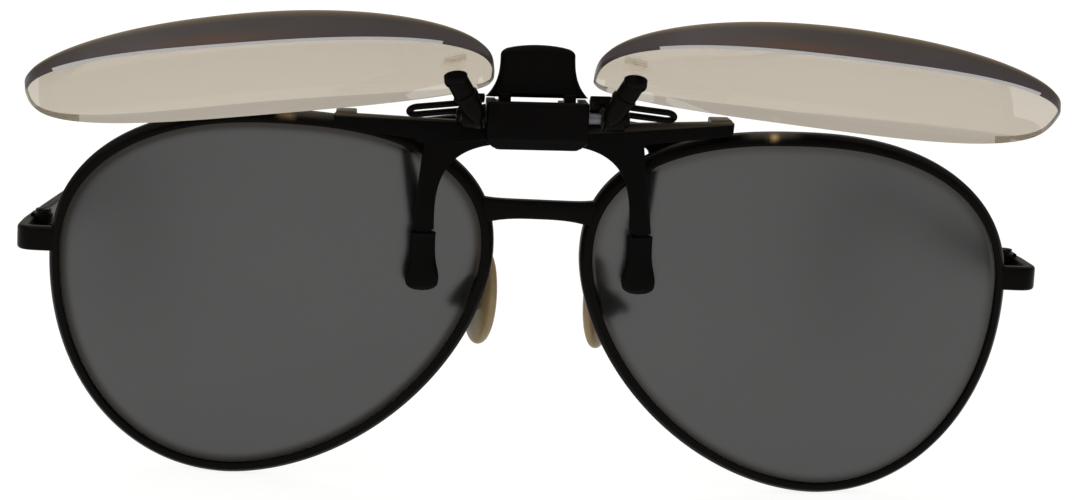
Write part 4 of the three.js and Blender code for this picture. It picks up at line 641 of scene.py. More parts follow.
def temple_line(side):
    """The temple's middle line, as points at even steps of its length, and that length."""
    start = np.array((side * bar_middle, temple_front, hinge_z))
    bend = np.array((side * (bar_middle - TEMPLE_INSET), hinge_y + TEMPLE_LENGTH, hinge_z))
    tip = bend + EAR_LENGTH * np.array((0, math.cos(EAR_ANGLE), -math.sin(EAR_ANGLE)))
    line = bent_path(start, bend, tip, EAR_BEND, EAR_BEND, EAR_BEND_STEPS)
    run = np.concatenate(([0.0], np.cumsum(np.linalg.norm(np.diff(line, axis=0), axis=1))))
    even = np.linspace(0, run[-1], TEMPLE_STEPS)
    return np.stack([np.interp(even, run, line[:, axis]) for axis in range(3)], -1), run[-1]


temple_run = temple_line(1)[1]
tip_start = (TEMPLE_LENGTH - TIP_COVER) / temple_run
temple_share = np.linspace(0, 1, TEMPLE_STEPS)
in_core = temple_share <= 1 - CORE_SHORT_OF_END / temple_run
thin = np.minimum(temple_share[in_core] / tip_start, 1)[:, None] ** THINNING_POWER
temple_sizes = TEMPLE_SIZE + (CORE_SIZE - TEMPLE_SIZE) * thin
unit_square = rectangle(-0.5, -0.5, 0.5, 0.5)
web_line = soften([
    (hinge_x, hinge_y + WEB_FRONT), (bar_middle, hinge_y + WEB_OUTSIDE),
    (bar_middle, hinge_y + WEB_BACK), (hinge_x, hinge_y + WEB_BACK),
], WEB_CORNER, 3)
knuckle_spans = (
    (hinge_z - HINGE_HEIGHT / 2, hinge_z - knuckle_half - TURN_GAP / 2),
    (hinge_z + knuckle_half + TURN_GAP / 2, hinge_z + HINGE_HEIGHT / 2),
)
for word, side in SIDES:
    line = temple_line(side)[0][in_core]
    bar = carried(line, soften(unit_square, TEMPLE_ROUNDING), (1, 0, 0), temple_sizes[:, None])
    parts = [skin(bar)]
    for low, high in knuckle_spans:
        foot = (side * hinge_x, hinge_y, low)
        parts.append(skin(bushing(foot, (0, 0, 1), high - low, KNUCKLE_RADIUS, HINGE_BORE), loop=True))
        parts.append(slab(web_line, (low, high), WEB_ROUNDING, lying(side)))
    piece(f"temple_bar_{word}", parts, lacquer, f"temple_arm_{word}", f"temple_{word}")

# Temple tips: moulded black acetate sleeves pushed on the temple cores, swelling behind the ear, with the
# foot worn flat where the open spectacles stand.
TIP_SIZE, TIP_MOUTH = np.array((3.3, 5.8)), np.array((2.4, 2.6))
TIP_ROUNDING, TIP_CORNER_STEPS = 0.42, 8
TIP_SWELL_RATE, TIP_CLOSES_AT, TIP_CLOSES_OVER = 1.15, 0.93, 0.0705
MOUTH_ROLL, MOUTH_REACH, TIP_POLE = 0.22, 0.012, 0.06
ACETATE_DARK, ACETATE_LIGHT = (0.0016, 0.0015, 0.0014), (0.0045, 0.004, 0.0036)

acetate = marked_finish(
    "black_acetate", ACETATE_DARK, ACETATE_LIGHT, rough=(0.22, 0.36), scales=(3600, 160, 800),
    grain_depth=5e-6, sockets={"Specular IOR Level": 0.08},
)
in_tip = temple_share >= tip_start
along = (temple_share[in_tip] - tip_start) / (1 - tip_start)
swell = np.sin(np.minimum(along * TIP_SWELL_RATE, 1) * np.pi / 2)[:, None]
close = np.sqrt(np.clip(1 - ((along - TIP_CLOSES_AT) / TIP_CLOSES_OVER).clip(0, 1) ** 2, 0.0, 1))
open_end = 1 - MOUTH_ROLL * np.exp(-((along / MOUTH_REACH) ** 2))
tip_sizes = (TIP_MOUTH + (TIP_SIZE - TIP_MOUTH) * swell) * np.maximum(close * open_end, TIP_POLE)[:, None]
for word, side in SIDES:
    line = temple_line(side)[0][in_tip]
    section = soften(unit_square, TIP_ROUNDING, TIP_CORNER_STEPS)
    rings = carried(line, section, (1, 0, 0), tip_sizes[:, None])
    rings[..., 2] = np.maximum(rings[..., 2], 0.0)
    piece(
        f"ear_tip_{word}", [skin(rings)], acetate, f"temple_arm_{word}", f"temple_tip_{word}",
    )

# Hinge housing: a moulded nylon block in the middle of the clip, chamfered along its foot and open at the top
# and the back, where the axle, the spring and the rear jaw's legs run. The front jaw is screwed to its back.
CLIP_PLACE = np.array((-1.4, -62.439, 52.898))
CLIP_TILT = math.radians(-1.2)
HOUSING_HALF, HOUSING_DEEP = 6.7, 3.1
HOUSING_TOP, HOUSING_FOOT, CAVITY_FLOOR = 2.2, -4.2, -2.1
HOUSING_WALL, HOUSING_CHAMFER, HOUSING_CORNER, HOUSING_LIP = 1.2, 1.5, 1.1, 0.35
HOUSING_EDGE, EDGE_STEPS, FOOT_ROLL, ROLL_STEPS, CHAMFER_SLOPE, LIP_SIDE_SHARE = 0.75, 8, 0.3, 6, 0.7, 0.6
AXLE_BORE, BORE_REACH, BORE_SIDES = 0.95, 9, 40
NYLON_DARK, NYLON_LIGHT = (0.0012, 0.001, 0.001), (0.003, 0.0026, 0.0024)
# Painted highlight: the paler colour laid on the top of the front jaw's bar, where light from above falls.
NYLON_LIT_TOP = (0.14, 0.117, 0.088)


def in_clip(points):
    """Points measured from the middle of the axle, tilted with the clip about Y and moved to its place."""
    points = np.asarray(points, float)
    x = points[..., 0] * math.cos(CLIP_TILT) + points[..., 2] * math.sin(CLIP_TILT)
    z = points[..., 2] * math.cos(CLIP_TILT) - points[..., 0] * math.sin(CLIP_TILT)
    return np.stack((x, points[..., 1], z), -1) + CLIP_PLACE


def clip_skin(rings, loop=False):
    """A skin whose rings are measured from the axle."""
    return skin(in_clip(rings), loop)


def housing_ring(level, half, front, inner_front):
    """A level of the housing: round the outside from the back left corner by the front to the back right one,
    and back along the inside of the cavity, or along the flat back where there is none."""
    corners = [(-half, HOUSING_DEEP), (-half, front), (half, front), (half, HOUSING_DEEP)]
    outside = soften(corners, HOUSING_EDGE, EDGE_STEPS)[EDGE_STEPS:-EDGE_STEPS]
    inner = HOUSING_HALF - HOUSING_WALL
    inside = [(inner, HOUSING_DEEP), (inner, inner_front), (-inner, inner_front), (-inner, HOUSING_DEEP)]
    run = np.concatenate(([(-half, HOUSING_DEEP)], outside, [(half, HOUSING_DEEP)], inside))
    return np.stack((run[:, 0], run[:, 1], np.full(len(run), level)), -1)


def bored(made, foot, axis, length, radius):
    """Cuts a round bore along an axis out of a piece with a Boolean modifier, which is applied at once."""
    points, faces = skin(turned(foot, axis, [(0, radius), (length, radius)], BORE_SIDES))
    cutter_mesh = bpy.data.meshes.new("bore")
    cutter_mesh.from_pydata((points * MILLIMETRE).tolist(), [], faces)
    cutter = bpy.data.objects.new("bore", cutter_mesh)
    bpy.context.collection.objects.link(cutter)
    cut = made.modifiers.new("bore", "BOOLEAN")
    cut.object = cutter
    cut.operation = "DIFFERENCE"
    bpy.context.view_layer.update()
    finished = bpy.data.meshes.new_from_object(made.evaluated_get(bpy.context.evaluated_depsgraph_get()))
    made.modifiers.clear()
    made.data = finished
    bpy.data.objects.remove(cutter)


nylon = marked_finish(
    "black_nylon", NYLON_DARK, NYLON_LIGHT, rough=(0.3, 0.46), scales=(2600, 200, 900),
    grain_depth=7e-6, sockets={"Specular IOR Level": 0.035},
)
# Painted highlight: the front jaw's top is painted paler towards the ends of the bar. On the rims the same
# mark is real wear of the lacquer.
stain_or_painted_light(nylon, "wear_and_sheen", NYLON_LIT_TOP)
roll = np.linspace(0, np.pi / 2, ROLL_STEPS)
foot_front = -HOUSING_DEEP + HOUSING_CHAMFER * CHAMFER_SLOPE
tuck = FOOT_ROLL * (1 - np.sin(roll[:-1]))
lift = FOOT_ROLL * (1 - np.cos(roll[:-1]))
rolled_foot = np.stack((HOUSING_FOOT + lift, HOUSING_HALF - HOUSING_CORNER - tuck, foot_front + tuck), -1)
chamfered = (
    (HOUSING_FOOT + 0.25, HOUSING_HALF - HOUSING_CORNER + 0.2, foot_front - 0.14),
    (HOUSING_FOOT + HOUSING_CORNER - 0.15, HOUSING_HALF - 0.1, -HOUSING_DEEP + 0.42),
    (HOUSING_FOOT + HOUSING_CORNER + 0.15, HOUSING_HALF, -HOUSING_DEEP + 0.22),
    (HOUSING_FOOT + HOUSING_CHAMFER, HOUSING_HALF, -HOUSING_DEEP + 0.02),
    (HOUSING_FOOT + HOUSING_CHAMFER + 0.12, HOUSING_HALF, -HOUSING_DEEP),
    (CAVITY_FLOOR, HOUSING_HALF, -HOUSING_DEEP),
)
cavity_front = -HOUSING_DEEP + HOUSING_WALL
solid = [housing_ring(*level, HOUSING_DEEP) for level in (*rolled_foot, *chamfered)]
solid.append(housing_ring(CAVITY_FLOOR, HOUSING_HALF, -HOUSING_DEEP, cavity_front))
for angle in roll:
    shrink = HOUSING_LIP * (1 - math.cos(angle))
    rise = HOUSING_TOP - HOUSING_LIP * (1 - math.sin(angle))
    half = HOUSING_HALF - shrink * LIP_SIDE_SHARE
    solid.append(housing_ring(rise, half, -HOUSING_DEEP + shrink, cavity_front))
housing = piece(
    "hinge_block", [clip_skin(solid)], nylon, "spectacle_front", "hinge_housing", sharp=24,
)
along_axle = in_clip((1, 0, 0)) - in_clip((0, 0, 0))
bored(housing, in_clip((-BORE_REACH, 0, 0)), along_axle, 2 * BORE_REACH, AXLE_BORE)

# Front jaw: a moulded nylon plate screwed to the back of the housing. A tapered bar runs in front of the
# rims, with a lug on each end that sits on top of the rim, and two prongs hang in front of the lenses. The
# top of the bar is painted paler towards its ends, a painted highlight of the light from above.
PLATE_FRONT, PLATE_BACK, PLATE_ROUNDING = 3.2, 5.0, 0.28
BAR_TOP, BAR_END_TOP, BAR_END_HEIGHT, BAR_ROOT_HEIGHT, BAR_CORNER = -1.1, -0.35, 2.0, 2.6, 0.55
JAW_REACH, PRONG_SPREAD, PRONG_WIDTH, PRONG_LEAN, PRONG_DROP = 26.8, 14.6, 2.9, 1.3, 24.1
PRONG_FILLET, CORE_STEP, WEB_SHOULDER, BAR_END_SLOPE, BAR_STEPS = 0.6, 0.2, 1.2, 0.2, 5
FILLET_ABOVE_CORE, FILLET_DOWN, FILLET_OUT, FILLET_UNDER = 2.0, 4.5, 4.4, 0.8
FILLET_STEPS, WIDE_FILLET_STEPS, PRONG_END_STEPS = 8, 24, 6
SLEEVE_LENGTH, SLEEVE_WALL = 8.2, 0.5
SHELF_LENGTH, SHELF_RISE, SHELF_INSET, SHELF_OVER_RIM = 2.8, 0.2, 0.3, 1.65
SHELF_FRONT, SHELF_BACK, SHELF_CORNER, SHELF_ROUNDING = 0.6, 3.0, 0.3, 0.15
LIT_TOP_FROM, LIT_TOP_OVER, LIT_TOP_BELOW, LIT_TOP_FADE = 19, 5, 0.4, 0.3

core_half = PRONG_WIDTH / 2 - SLEEVE_WALL
core_top = SLEEVE_LENGTH - PRONG_DROP
core_foot = 2 * SLEEVE_WALL - PRONG_DROP


def bezier(points, steps):
    """Points of the quadratic or cubic curve of three or four control points, without its first point."""
    points = np.asarray(points, float)
    t = np.linspace(0, 1, steps + 1)[1:, None]
    degree = len(points) - 1
    terms = [math.comb(degree, i) * (1 - t) ** (degree - i) * t ** i * points[i] for i in range(degree + 1)]
    return sum(terms)


def jaw_edge(reach, end_top, root_top, root_foot, outer, foot, web_top, inner_curve):
    """Front view of a jaw, one half from the top middle and mirrored: web, tapered bar, tight corner, prong
    with its narrower core, and a given curve from the prong's inner edge to the foot of the web. The first
    two corners of the bar and its last one only steer the softening and are left off."""
    fillet = outer + PRONG_FILLET
    bar = soften([
        (0, web_top + 1), (0, web_top), (HOUSING_HALF, web_top), (HOUSING_HALF + WEB_SHOULDER, root_top),
        (reach, end_top), (reach - BAR_END_SLOPE, end_top - BAR_END_HEIGHT), (fillet, root_foot),
    ], BAR_CORNER, BAR_STEPS)[2 * (BAR_STEPS + 1):-(BAR_STEPS + 1)]
    left, right = foot - core_half, foot + core_half
    shoulder, chin = core_top + CORE_STEP, core_foot + core_half
    half = np.concatenate((
        bar,
        bezier([(fillet, root_foot), (outer, root_foot), (outer, root_foot - PRONG_FILLET)], FILLET_STEPS),
        [(foot + PRONG_WIDTH / 2, shoulder), (right, core_top), (right, chin)],
        bezier([(right, chin), (right, core_foot), (foot, core_foot)], PRONG_END_STEPS),
        bezier([(foot, core_foot), (left, core_foot), (left, chin)], PRONG_END_STEPS),
        [(left, core_top), (foot - PRONG_WIDTH / 2, shoulder)],
        inner_curve,
    ))
    return np.concatenate((half, half[::-1] * (-1, 1)))[::-1]


def clip_slab(edge, depths, rounding):
    """A plate of the clip, its edge seen from the front and its depths along Y."""
    return slab(edge, depths, rounding, lambda line, depth: in_clip(
        np.stack((line[:, 0], np.full(len(line), depth), line[:, 1]), -1)))


root_foot = BAR_TOP - BAR_ROOT_HEIGHT
web_foot = (HOUSING_HALF - HOUSING_CORNER, HOUSING_FOOT)
inner_edge = PRONG_SPREAD - PRONG_WIDTH / 2
fillet_start = (inner_edge, core_top + FILLET_ABOVE_CORE)
wide_fillet = bezier([
    fillet_start, (inner_edge, root_foot - FILLET_DOWN),
    (HOUSING_HALF + FILLET_OUT, HOUSING_FOOT - FILLET_UNDER), web_foot,
], WIDE_FILLET_STEPS)
outer_edge = PRONG_SPREAD + PRONG_WIDTH / 2 - PRONG_LEAN
front_edge = jaw_edge(
    JAW_REACH, BAR_END_TOP, BAR_TOP, root_foot, outer_edge, PRONG_SPREAD, BAR_TOP,
    np.concatenate(([fillet_start], wide_fillet)),
)
parts = [clip_slab(front_edge, (PLATE_FRONT, PLATE_BACK), PLATE_ROUNDING)]
for _, side in SIDES:
    rim_top = on_front(side, lens_edge(EYE_SHAPE, RIM_STEPS, SHELF_OVER_RIM), 0.0)
    outside = side * (JAW_REACH - SHELF_INSET)
    low, high = sorted((outside - side * SHELF_LENGTH, outside))
    ends = in_clip([(low, 0, BAR_END_TOP), (high, 0, BAR_END_TOP)])
    over = (rim_top[:, 0] > ends[0, 0]) & (rim_top[:, 0] < ends[1, 0]) & (rim_top[:, 2] > FRONT_PLACE[2])
    foot = rim_top[over][:, 2].max() - ends[:, 2].mean() + BAR_END_TOP
    lug_edge = soften(rectangle(low, foot, high, BAR_END_TOP + SHELF_RISE), SHELF_CORNER)
    parts.append(clip_slab(lug_edge, (PLATE_FRONT + SHELF_FRONT, PLATE_BACK + SHELF_BACK), SHELF_ROUNDING))
jaw = piece("front_plate", parts, nylon, "spectacle_front", "front_jaw")
from_axle = points_of(jaw) - CLIP_PLACE
# Painted highlight: how much of the paler colour each point of the jaw gets, towards the bar's ends and along
# its top.
outward = np.clip((np.abs(from_axle[:, 0]) - LIT_TOP_FROM) / LIT_TOP_OVER, 0, 1)
top_line = BAR_TOP + (BAR_END_TOP - BAR_TOP) * np.abs(from_axle[:, 0]) / JAW_REACH
height = from_axle[:, 2] + from_axle[:, 0] * math.sin(CLIP_TILT)
point_values(jaw, "wear_and_sheen", outward * np.clip((height - top_line + LIT_TOP_BELOW) / LIT_TOP_FADE, 0, 1))

# Housing screws: two small turned steel screws with slotted heads, driven from behind through the front jaw
# into the housing.
SCREW_DROP, SCREW_SPREAD, SCREW_FRONT, SCREW_LENGTH = -3.15, 4.5, -0.6, 5.7
SCREW_POINT, SCREW_RADIUS, SCREW_CHAMFER, FACE_GAP = 0.4, 0.55, 0.2, 0.1
SCREW_HEAD, SCREW_HEAD_HEIGHT, SCREW_SLOT, SCREW_SLOT_TURN, SCREW_SIDES = 1.0, 0.45, 0.28, 0.5, 24
STEEL_BRIGHT, STEEL_DULL = (0.62, 0.63, 0.65), (0.40, 0.41, 0.43)

steel = marked_finish(
    "turned_steel", STEEL_BRIGHT, STEEL_DULL, rough=(0.2, 0.42), scales=STEEL_MARKS,
    grain_depth=STEEL_GRAIN, speck_share=0.3, sockets={"Metallic": 1.0},
)
screw_profile = [(0, SCREW_POINT), (SCREW_CHAMFER, SCREW_RADIUS), (SCREW_LENGTH, SCREW_RADIUS)]
for word, side in SIDES:
    seat = in_clip((side * SCREW_SPREAD, PLATE_BACK + FACE_GAP, SCREW_DROP))
    point = (side * SCREW_SPREAD, SCREW_FRONT, SCREW_DROP)
    shank = clip_skin(turned(point, (0, 1, 0), screw_profile, SCREW_SIDES))
    slot_way = (1, 0, side * SCREW_SLOT_TURN)
    head = slotted_head(seat, (0, 1, 0), SCREW_HEAD, SCREW_HEAD_HEIGHT, SCREW_SLOT, slot_way)
    piece(f"housing_pin_{word}", [shank, *head], steel, "spectacle_front", f"housing_screw_{word}")

# Front sleeves: dipped black rubber socks pushed on the prongs, with a bulb that bears on the front of the
# sun lens and keeps the nylon off it.
SLEEVE_BULB, SLEEVE_SPARE, SLEEVE_MOUTH, SLEEVE_BULGE, LENS_CLEAR = 4.5, 0.5, 0.15, 0.75, 0.3
BULB_AT, BULB_REACH, BULB_LEAN, BULB_BEARS_AT = 0.78, 0.24, 0.2, 0.25
CLOSES_AT, CLOSES_OVER, CLOSED_LEAST = 0.88, 0.1205, 0.003
LIP_SWELL, LIP_REACH, LIP_ROLL, LIP_ROLL_REACH = 0.05, 0.05, 0.3, 0.008
SOCK_RINGS, SOCK_POINTS, SOCK_SQUARENESS = 46, 40, 0.7
RUBBER_DARK, RUBBER_LIGHT = (0.0012, 0.0011, 0.0011), (0.003, 0.0028, 0.0027)

rubber = marked_finish(
    "sleeve_rubber", RUBBER_DARK, RUBBER_LIGHT, rough=(0.42, 0.6), scales=(2100, 300, 700),
    grain_depth=1e-5, speck_share=0.25, sockets={"Specular IOR Level": 0.04},
)


def lens_face(spread, back):
    """Depth, from the axle, of a face of the sun lens behind a prong's bulb."""
    bulb = in_clip((spread, 0, SLEEVE_LENGTH * BULB_BEARS_AT - PRONG_DROP)) - FRONT_PLACE
    out = abs(bulb[0]) - EYE_GAP / 2 - EYE_WIDTH / 2
    return on_front(1, (out, bulb[2]), back)[1] - CLIP_PLACE[1]


def sock(spread, near_plain, far_plain, pad_near, pad_far):
    """A sleeve from its mouth down: rounded sections that swell with a bell curve into the bulb, reach out to
    the pad faces there, and close in a quarter circle."""
    share = np.linspace(0, 1, SOCK_RINGS)
    height = core_top - SLEEVE_MOUTH - (SLEEVE_LENGTH - SLEEVE_MOUTH) * share
    bulb = np.exp(-((share - BULB_AT) / BULB_REACH) ** 2)
    close = np.sqrt(np.clip(1 - ((share - CLOSES_AT).clip(0) / CLOSES_OVER) ** 2, CLOSED_LEAST, 1))
    lip = 1 + LIP_SWELL * np.exp(-((share / LIP_REACH) ** 2))
    lip = lip - LIP_ROLL * np.exp(-((share / LIP_ROLL_REACH) ** 2))
    plain = PRONG_WIDTH + SLEEVE_SPARE
    wide = lip * close * (plain + (SLEEVE_BULB - plain) * bulb) / 2
    near = near_plain - SLEEVE_WALL + (pad_near - near_plain + SLEEVE_WALL) * bulb
    far = far_plain + SLEEVE_WALL + (pad_far - far_plain - SLEEVE_WALL) * bulb
    middle = (near + far) / 2 + ((pad_near + pad_far) / 2 - (near + far) / 2) * BULB_LEAN * bulb
    deep = lip * close * (far - near) / 2
    ring = np.sign(circle(SOCK_POINTS)) * np.abs(circle(SOCK_POINTS)) ** SOCK_SQUARENESS
    x = spread + wide[:, None] * ring[:, 0]
    y = middle[:, None] + deep[:, None] * ring[:, 1]
    return clip_skin(np.stack((x, y, np.broadcast_to(height[:, None], x.shape)), -1))


for word, side in SIDES:
    spread = side * PRONG_SPREAD
    reach = lens_face(spread, -LENS_HALF) - LENS_CLEAR
    sleeve = sock(spread, PLATE_FRONT, PLATE_BACK, PLATE_FRONT - SLEEVE_BULGE, reach)
    piece(
        f"front_sock_{word}", [sleeve], rubber, "spectacle_front", f"front_sleeve_{word}",
        sharp=60,
    )

# Rear jaw: one moulded nylon lever. Its pinch tab stands above the housing, two legs turn on the axle inside
# it, arms reach back over the rims, and the prongs hang behind the lenses.
TAB_FOOT, TAB_HEIGHT, TAB_TOP_WIDTH, TAB_FOOT_WIDTH, TAB_THICKNESS = 2.5, 6.9, 9.9, 13.6, 1.8
TAB_SETBACK, TAB_RINGS, TAB_FLARE_POWER, TAB_CROWN, TAB_TAPER = 0.6, 40, 3.5, 0.3, 0.25
TAB_TOP_FROM, TAB_TOP_OVER, TAB_TOP_INSET, TAB_FOOT_ROLL, TAB_FOOT_OVER = 0.84, 0.163, 1.9, 0.3, 0.03
TAB_TOP_LEAST, TAB_THIN_POWER, TAB_THIN_LEAST, TAB_CROWN_POWER = 0.02, 0.7, 0.25, 6
TAB_STATIONS, TAB_EDGE_POWER, TAB_BELLY = 39, 12, 0.1
ARCH_HEIGHT, ARCH_HALF, ARCH_STEP, ARCH_FADE_POWER = 0.4, 0.535, 0.03, 12
LEG_INSIDE, LEG_WIDTH, LEG_FRONT, LEG_BACK, LEG_TOP, LUG_RADIUS = 3.5, 1.6, -0.1, 2.04, 3.1, 1.6
ARM_TOP, ARM_FOOT, ARM_KNEE, ARM_CORNER, ARM_ROUNDING = 1.2, -0.65, 1.2, 0.25, 0.12
KNEE_FROM, KNEE_TO, KNEE_STEPS = math.radians(94.8), math.radians(-32.8), 22
REAR_TOP, REAR_REACH, REAR_TIP_OUT, REAR_SHOULDER, REAR_END_DROP = -0.1, 20.8, 0.4, 0.6, 2.2
REAR_PRONG_OUTSIDE, REAR_PRONG_ROOT, REAR_ROOT_HEIGHT, REAR_THICKNESS = 17.65, 1.4, 4.9, 1.8
REAR_CORNER_DROP, REAR_CORNER_LEVEL, REAR_CORNER_IN = 2.4, 0.6, 1.2


def side_view(place):
    """A function that puts a flat line, drawn back and up, at a distance along the axle, by way of place."""
    return lambda line, along: place(np.stack((np.full(len(line), along), line[:, 0], line[:, 1]), -1))


rear_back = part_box("rear_jaw")[1][1] / MILLIMETRE - CLIP_PLACE[1]
rear_front = rear_back - REAR_THICKNESS
tab_middle = TAB_THICKNESS / 2 + TAB_SETBACK
arch_stations = (-ARCH_HALF, ARCH_STEP - ARCH_HALF, ARCH_HALF - ARCH_STEP, ARCH_HALF)
sine_stations = np.sin(np.linspace(-np.pi / 2, np.pi / 2, TAB_STATIONS))
stations = np.sort(np.concatenate((sine_stations, arch_stations)))
tab_rings = []
for share in np.linspace(0, 1, TAB_RINGS):
    flare = (TAB_FOOT_WIDTH - TAB_TOP_WIDTH) * (1 - share) ** TAB_FLARE_POWER
    round_top = math.sqrt(max(1 - (max(share - TAB_TOP_FROM, 0) / TAB_TOP_OVER) ** 2, TAB_TOP_LEAST))
    half = (TAB_TOP_WIDTH + flare) / 2 - TAB_TOP_INSET * (1 - round_top)
    round_foot = 1 - TAB_FOOT_ROLL * math.exp(-((share / TAB_FOOT_OVER) ** 2))
    thin_top = max(round_top ** TAB_THIN_POWER, TAB_THIN_LEAST)
    thick = TAB_THICKNESS * (1 - TAB_TAPER * share) / 2 * thin_top * round_foot
    bulge = thick * np.sqrt(1 - np.abs(stations) ** TAB_EDGE_POWER)
    bulge = bulge * (1 + TAB_BELLY - TAB_BELLY * stations ** 2)
    arch = ARCH_HEIGHT * np.clip((ARCH_HALF - np.abs(stations)) / ARCH_STEP, 0, 1)
    arch = arch * (1 - share) ** ARCH_FADE_POWER
    crown = TAB_CROWN * (1 - stations ** 2) * share ** TAB_CROWN_POWER
    level = TAB_FOOT + (TAB_HEIGHT - TAB_CROWN) * share + crown + arch
    face = np.stack((half * stations, tab_middle - bulge, level), -1)
    back = np.stack((half * stations, tab_middle + bulge, level), -1)
    tab_rings.append(np.concatenate((face, back[::-1])))
parts = [clip_skin(tab_rings)]
knee = np.linspace(KNEE_FROM, KNEE_TO, KNEE_STEPS)
arm_line = soften(np.concatenate((
    [(LEG_FRONT, LEG_TOP)], ARM_KNEE * np.stack((np.cos(knee), np.sin(knee)), -1),
    [(rear_back, ARM_FOOT), (rear_back, ARM_TOP), (LEG_BACK, ARM_TOP), (LEG_BACK, LEG_TOP)],
)), ARM_CORNER, 3)
for _, side in SIDES:
    low, high = sorted((side * LEG_INSIDE, side * (LEG_INSIDE + LEG_WIDTH)))
    parts.append(slab(arm_line, (low, high), ARM_ROUNDING, side_view(in_clip)))
    parts.append(clip_skin(bushing((low, 0, 0), (1, 0, 0), LEG_WIDTH, LUG_RADIUS, AXLE_BORE), loop=True))
inner_root = REAR_PRONG_OUTSIDE - REAR_PRONG_ROOT
corner_start, corner_level = (inner_root, HOUSING_FOOT - REAR_CORNER_DROP), HOUSING_FOOT - REAR_CORNER_LEVEL
corner_end = (inner_root - REAR_CORNER_IN, corner_level)
tight_corner = bezier([corner_start, (inner_root, corner_level), corner_end], FILLET_STEPS)
shoulder_top = REAR_TOP - REAR_SHOULDER
rear_edge = jaw_edge(
    REAR_REACH, REAR_TOP - REAR_END_DROP, shoulder_top, shoulder_top - REAR_ROOT_HEIGHT, REAR_PRONG_OUTSIDE,
    PRONG_SPREAD + REAR_TIP_OUT, REAR_TOP,
    np.concatenate(([corner_start], tight_corner, [web_foot])),
)
parts.append(clip_slab(rear_edge, (rear_front, rear_back), PLATE_ROUNDING))
piece("pinch_lever", parts, nylon, "jaw_lever", "rear_jaw")

# Rear sleeves: the same dipped rubber socks, pushed on the rear prongs, with their bulbs bearing on the back
# of the sun lens.
for word, side in SIDES:
    spread = side * (PRONG_SPREAD + REAR_TIP_OUT)
    reach = lens_face(spread, LENS_HALF) + LENS_CLEAR
    sleeve = sock(spread, rear_front, rear_back, reach, rear_back + SLEEVE_BULGE)
    piece(
        f"rear_sock_{word}", [sleeve], rubber, "jaw_lever", f"rear_sleeve_{word}", sharp=60,
    )

# Jaw spring: a torsion spring of round steel wire wound on the axle between the lever's legs, with one arm on
# the front jaw and one on the rear jaw.
SPRING_TURNS, SPRING_WIRE, SPRING_PITCH, SPRING_RADIUS = 6, 0.22, 0.9, 1.35
SPRING_STEPS, SPRING_SIDES, SPRING_REACH, LEAD_STEPS, TAIL_STEPS = 261, 12, 0.9, 16, 32

spring_start = -SPRING_TURNS * SPRING_PITCH / 2 - SPRING_PITCH / 4
turn = np.linspace(0, SPRING_TURNS + 0.5, SPRING_STEPS)
angle = -np.pi / 2 - 2 * np.pi * turn
round_axle = SPRING_RADIUS * np.stack((np.cos(angle), np.sin(angle)), -1)
coil = np.column_stack((spring_start + SPRING_PITCH * turn, round_axle))
first_arm = np.array((spring_start, PLATE_FRONT - SPRING_WIRE - FACE_GAP, -SPRING_RADIUS))
last_arm = np.array((coil[-1, 0], rear_front + SPRING_REACH, REAR_TOP + SPRING_WIRE + FACE_GAP))
lead = first_arm + (coil[0] - first_arm) * np.linspace(0, 1, LEAD_STEPS, endpoint=False)[:, None]
tail = coil[-1] + (last_arm - coil[-1]) * np.linspace(0, 1, TAIL_STEPS + 1)[1:, None]
spring_line = in_clip(np.concatenate((lead, coil, tail)))
winding = skin(carried(spring_line, circle(SPRING_SIDES, SPRING_WIRE), (1, 0, 0)))
spring = piece("wound_spring", [winding], steel, None, "jaw_spring", sharp=60)
tuple(in_clip((spring_start, 0, 0)) * MILLIMETRE)
tuple(in_clip((coil[-1, 0], 0, 0)) * MILLIMETRE)
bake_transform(spring)

# Flip axle: a turned steel pin that carries the two lens brackets through the housing. Its heads are riveted
# over the brackets and lacquered with them, and its shaft is left bare.
FLIP_ANGLE = math.radians(-116.5)
FLIP_SLIDE = 0.8
AXLE_RADIUS, AXLE_HEAD, AXLE_HEAD_LENGTH, AXLE_SIDES = 0.8, 1.2, 0.6, 48
DOME_FROM, DOME_STEPS, DOME_RISE, DOME_FULLNESS, SHAFT_STEP = 0.15, 8, 1.2, 0.8, 0.02
AXLE_DARK, AXLE_LIGHT = (0.10, 0.105, 0.12), (0.16, 0.165, 0.18)
WASHER_FROM, WASHER_THICKNESS, BRACKET_WIDTH, BRACKET_RADIUS = 7.6, 0.4, 2.7, 1.7

bracket_from = WASHER_FROM + WASHER_THICKNESS + FACE_GAP
bracket_to = bracket_from + BRACKET_WIDTH


def in_flip(points):
    """Points of the flip unit, drawn with the lenses hanging, turned up about the axle and slid along it."""
    points = np.asarray(points, float)
    y = points[..., 1] * math.cos(FLIP_ANGLE) - points[..., 2] * math.sin(FLIP_ANGLE)
    z = points[..., 1] * math.sin(FLIP_ANGLE) + points[..., 2] * math.cos(FLIP_ANGLE)
    return in_clip(np.stack((points[..., 0] + FLIP_SLIDE, y, z), -1))


def flip_skin(rings, loop=False):
    """A skin whose rings are drawn with the lenses hanging."""
    return skin(in_flip(rings), loop)


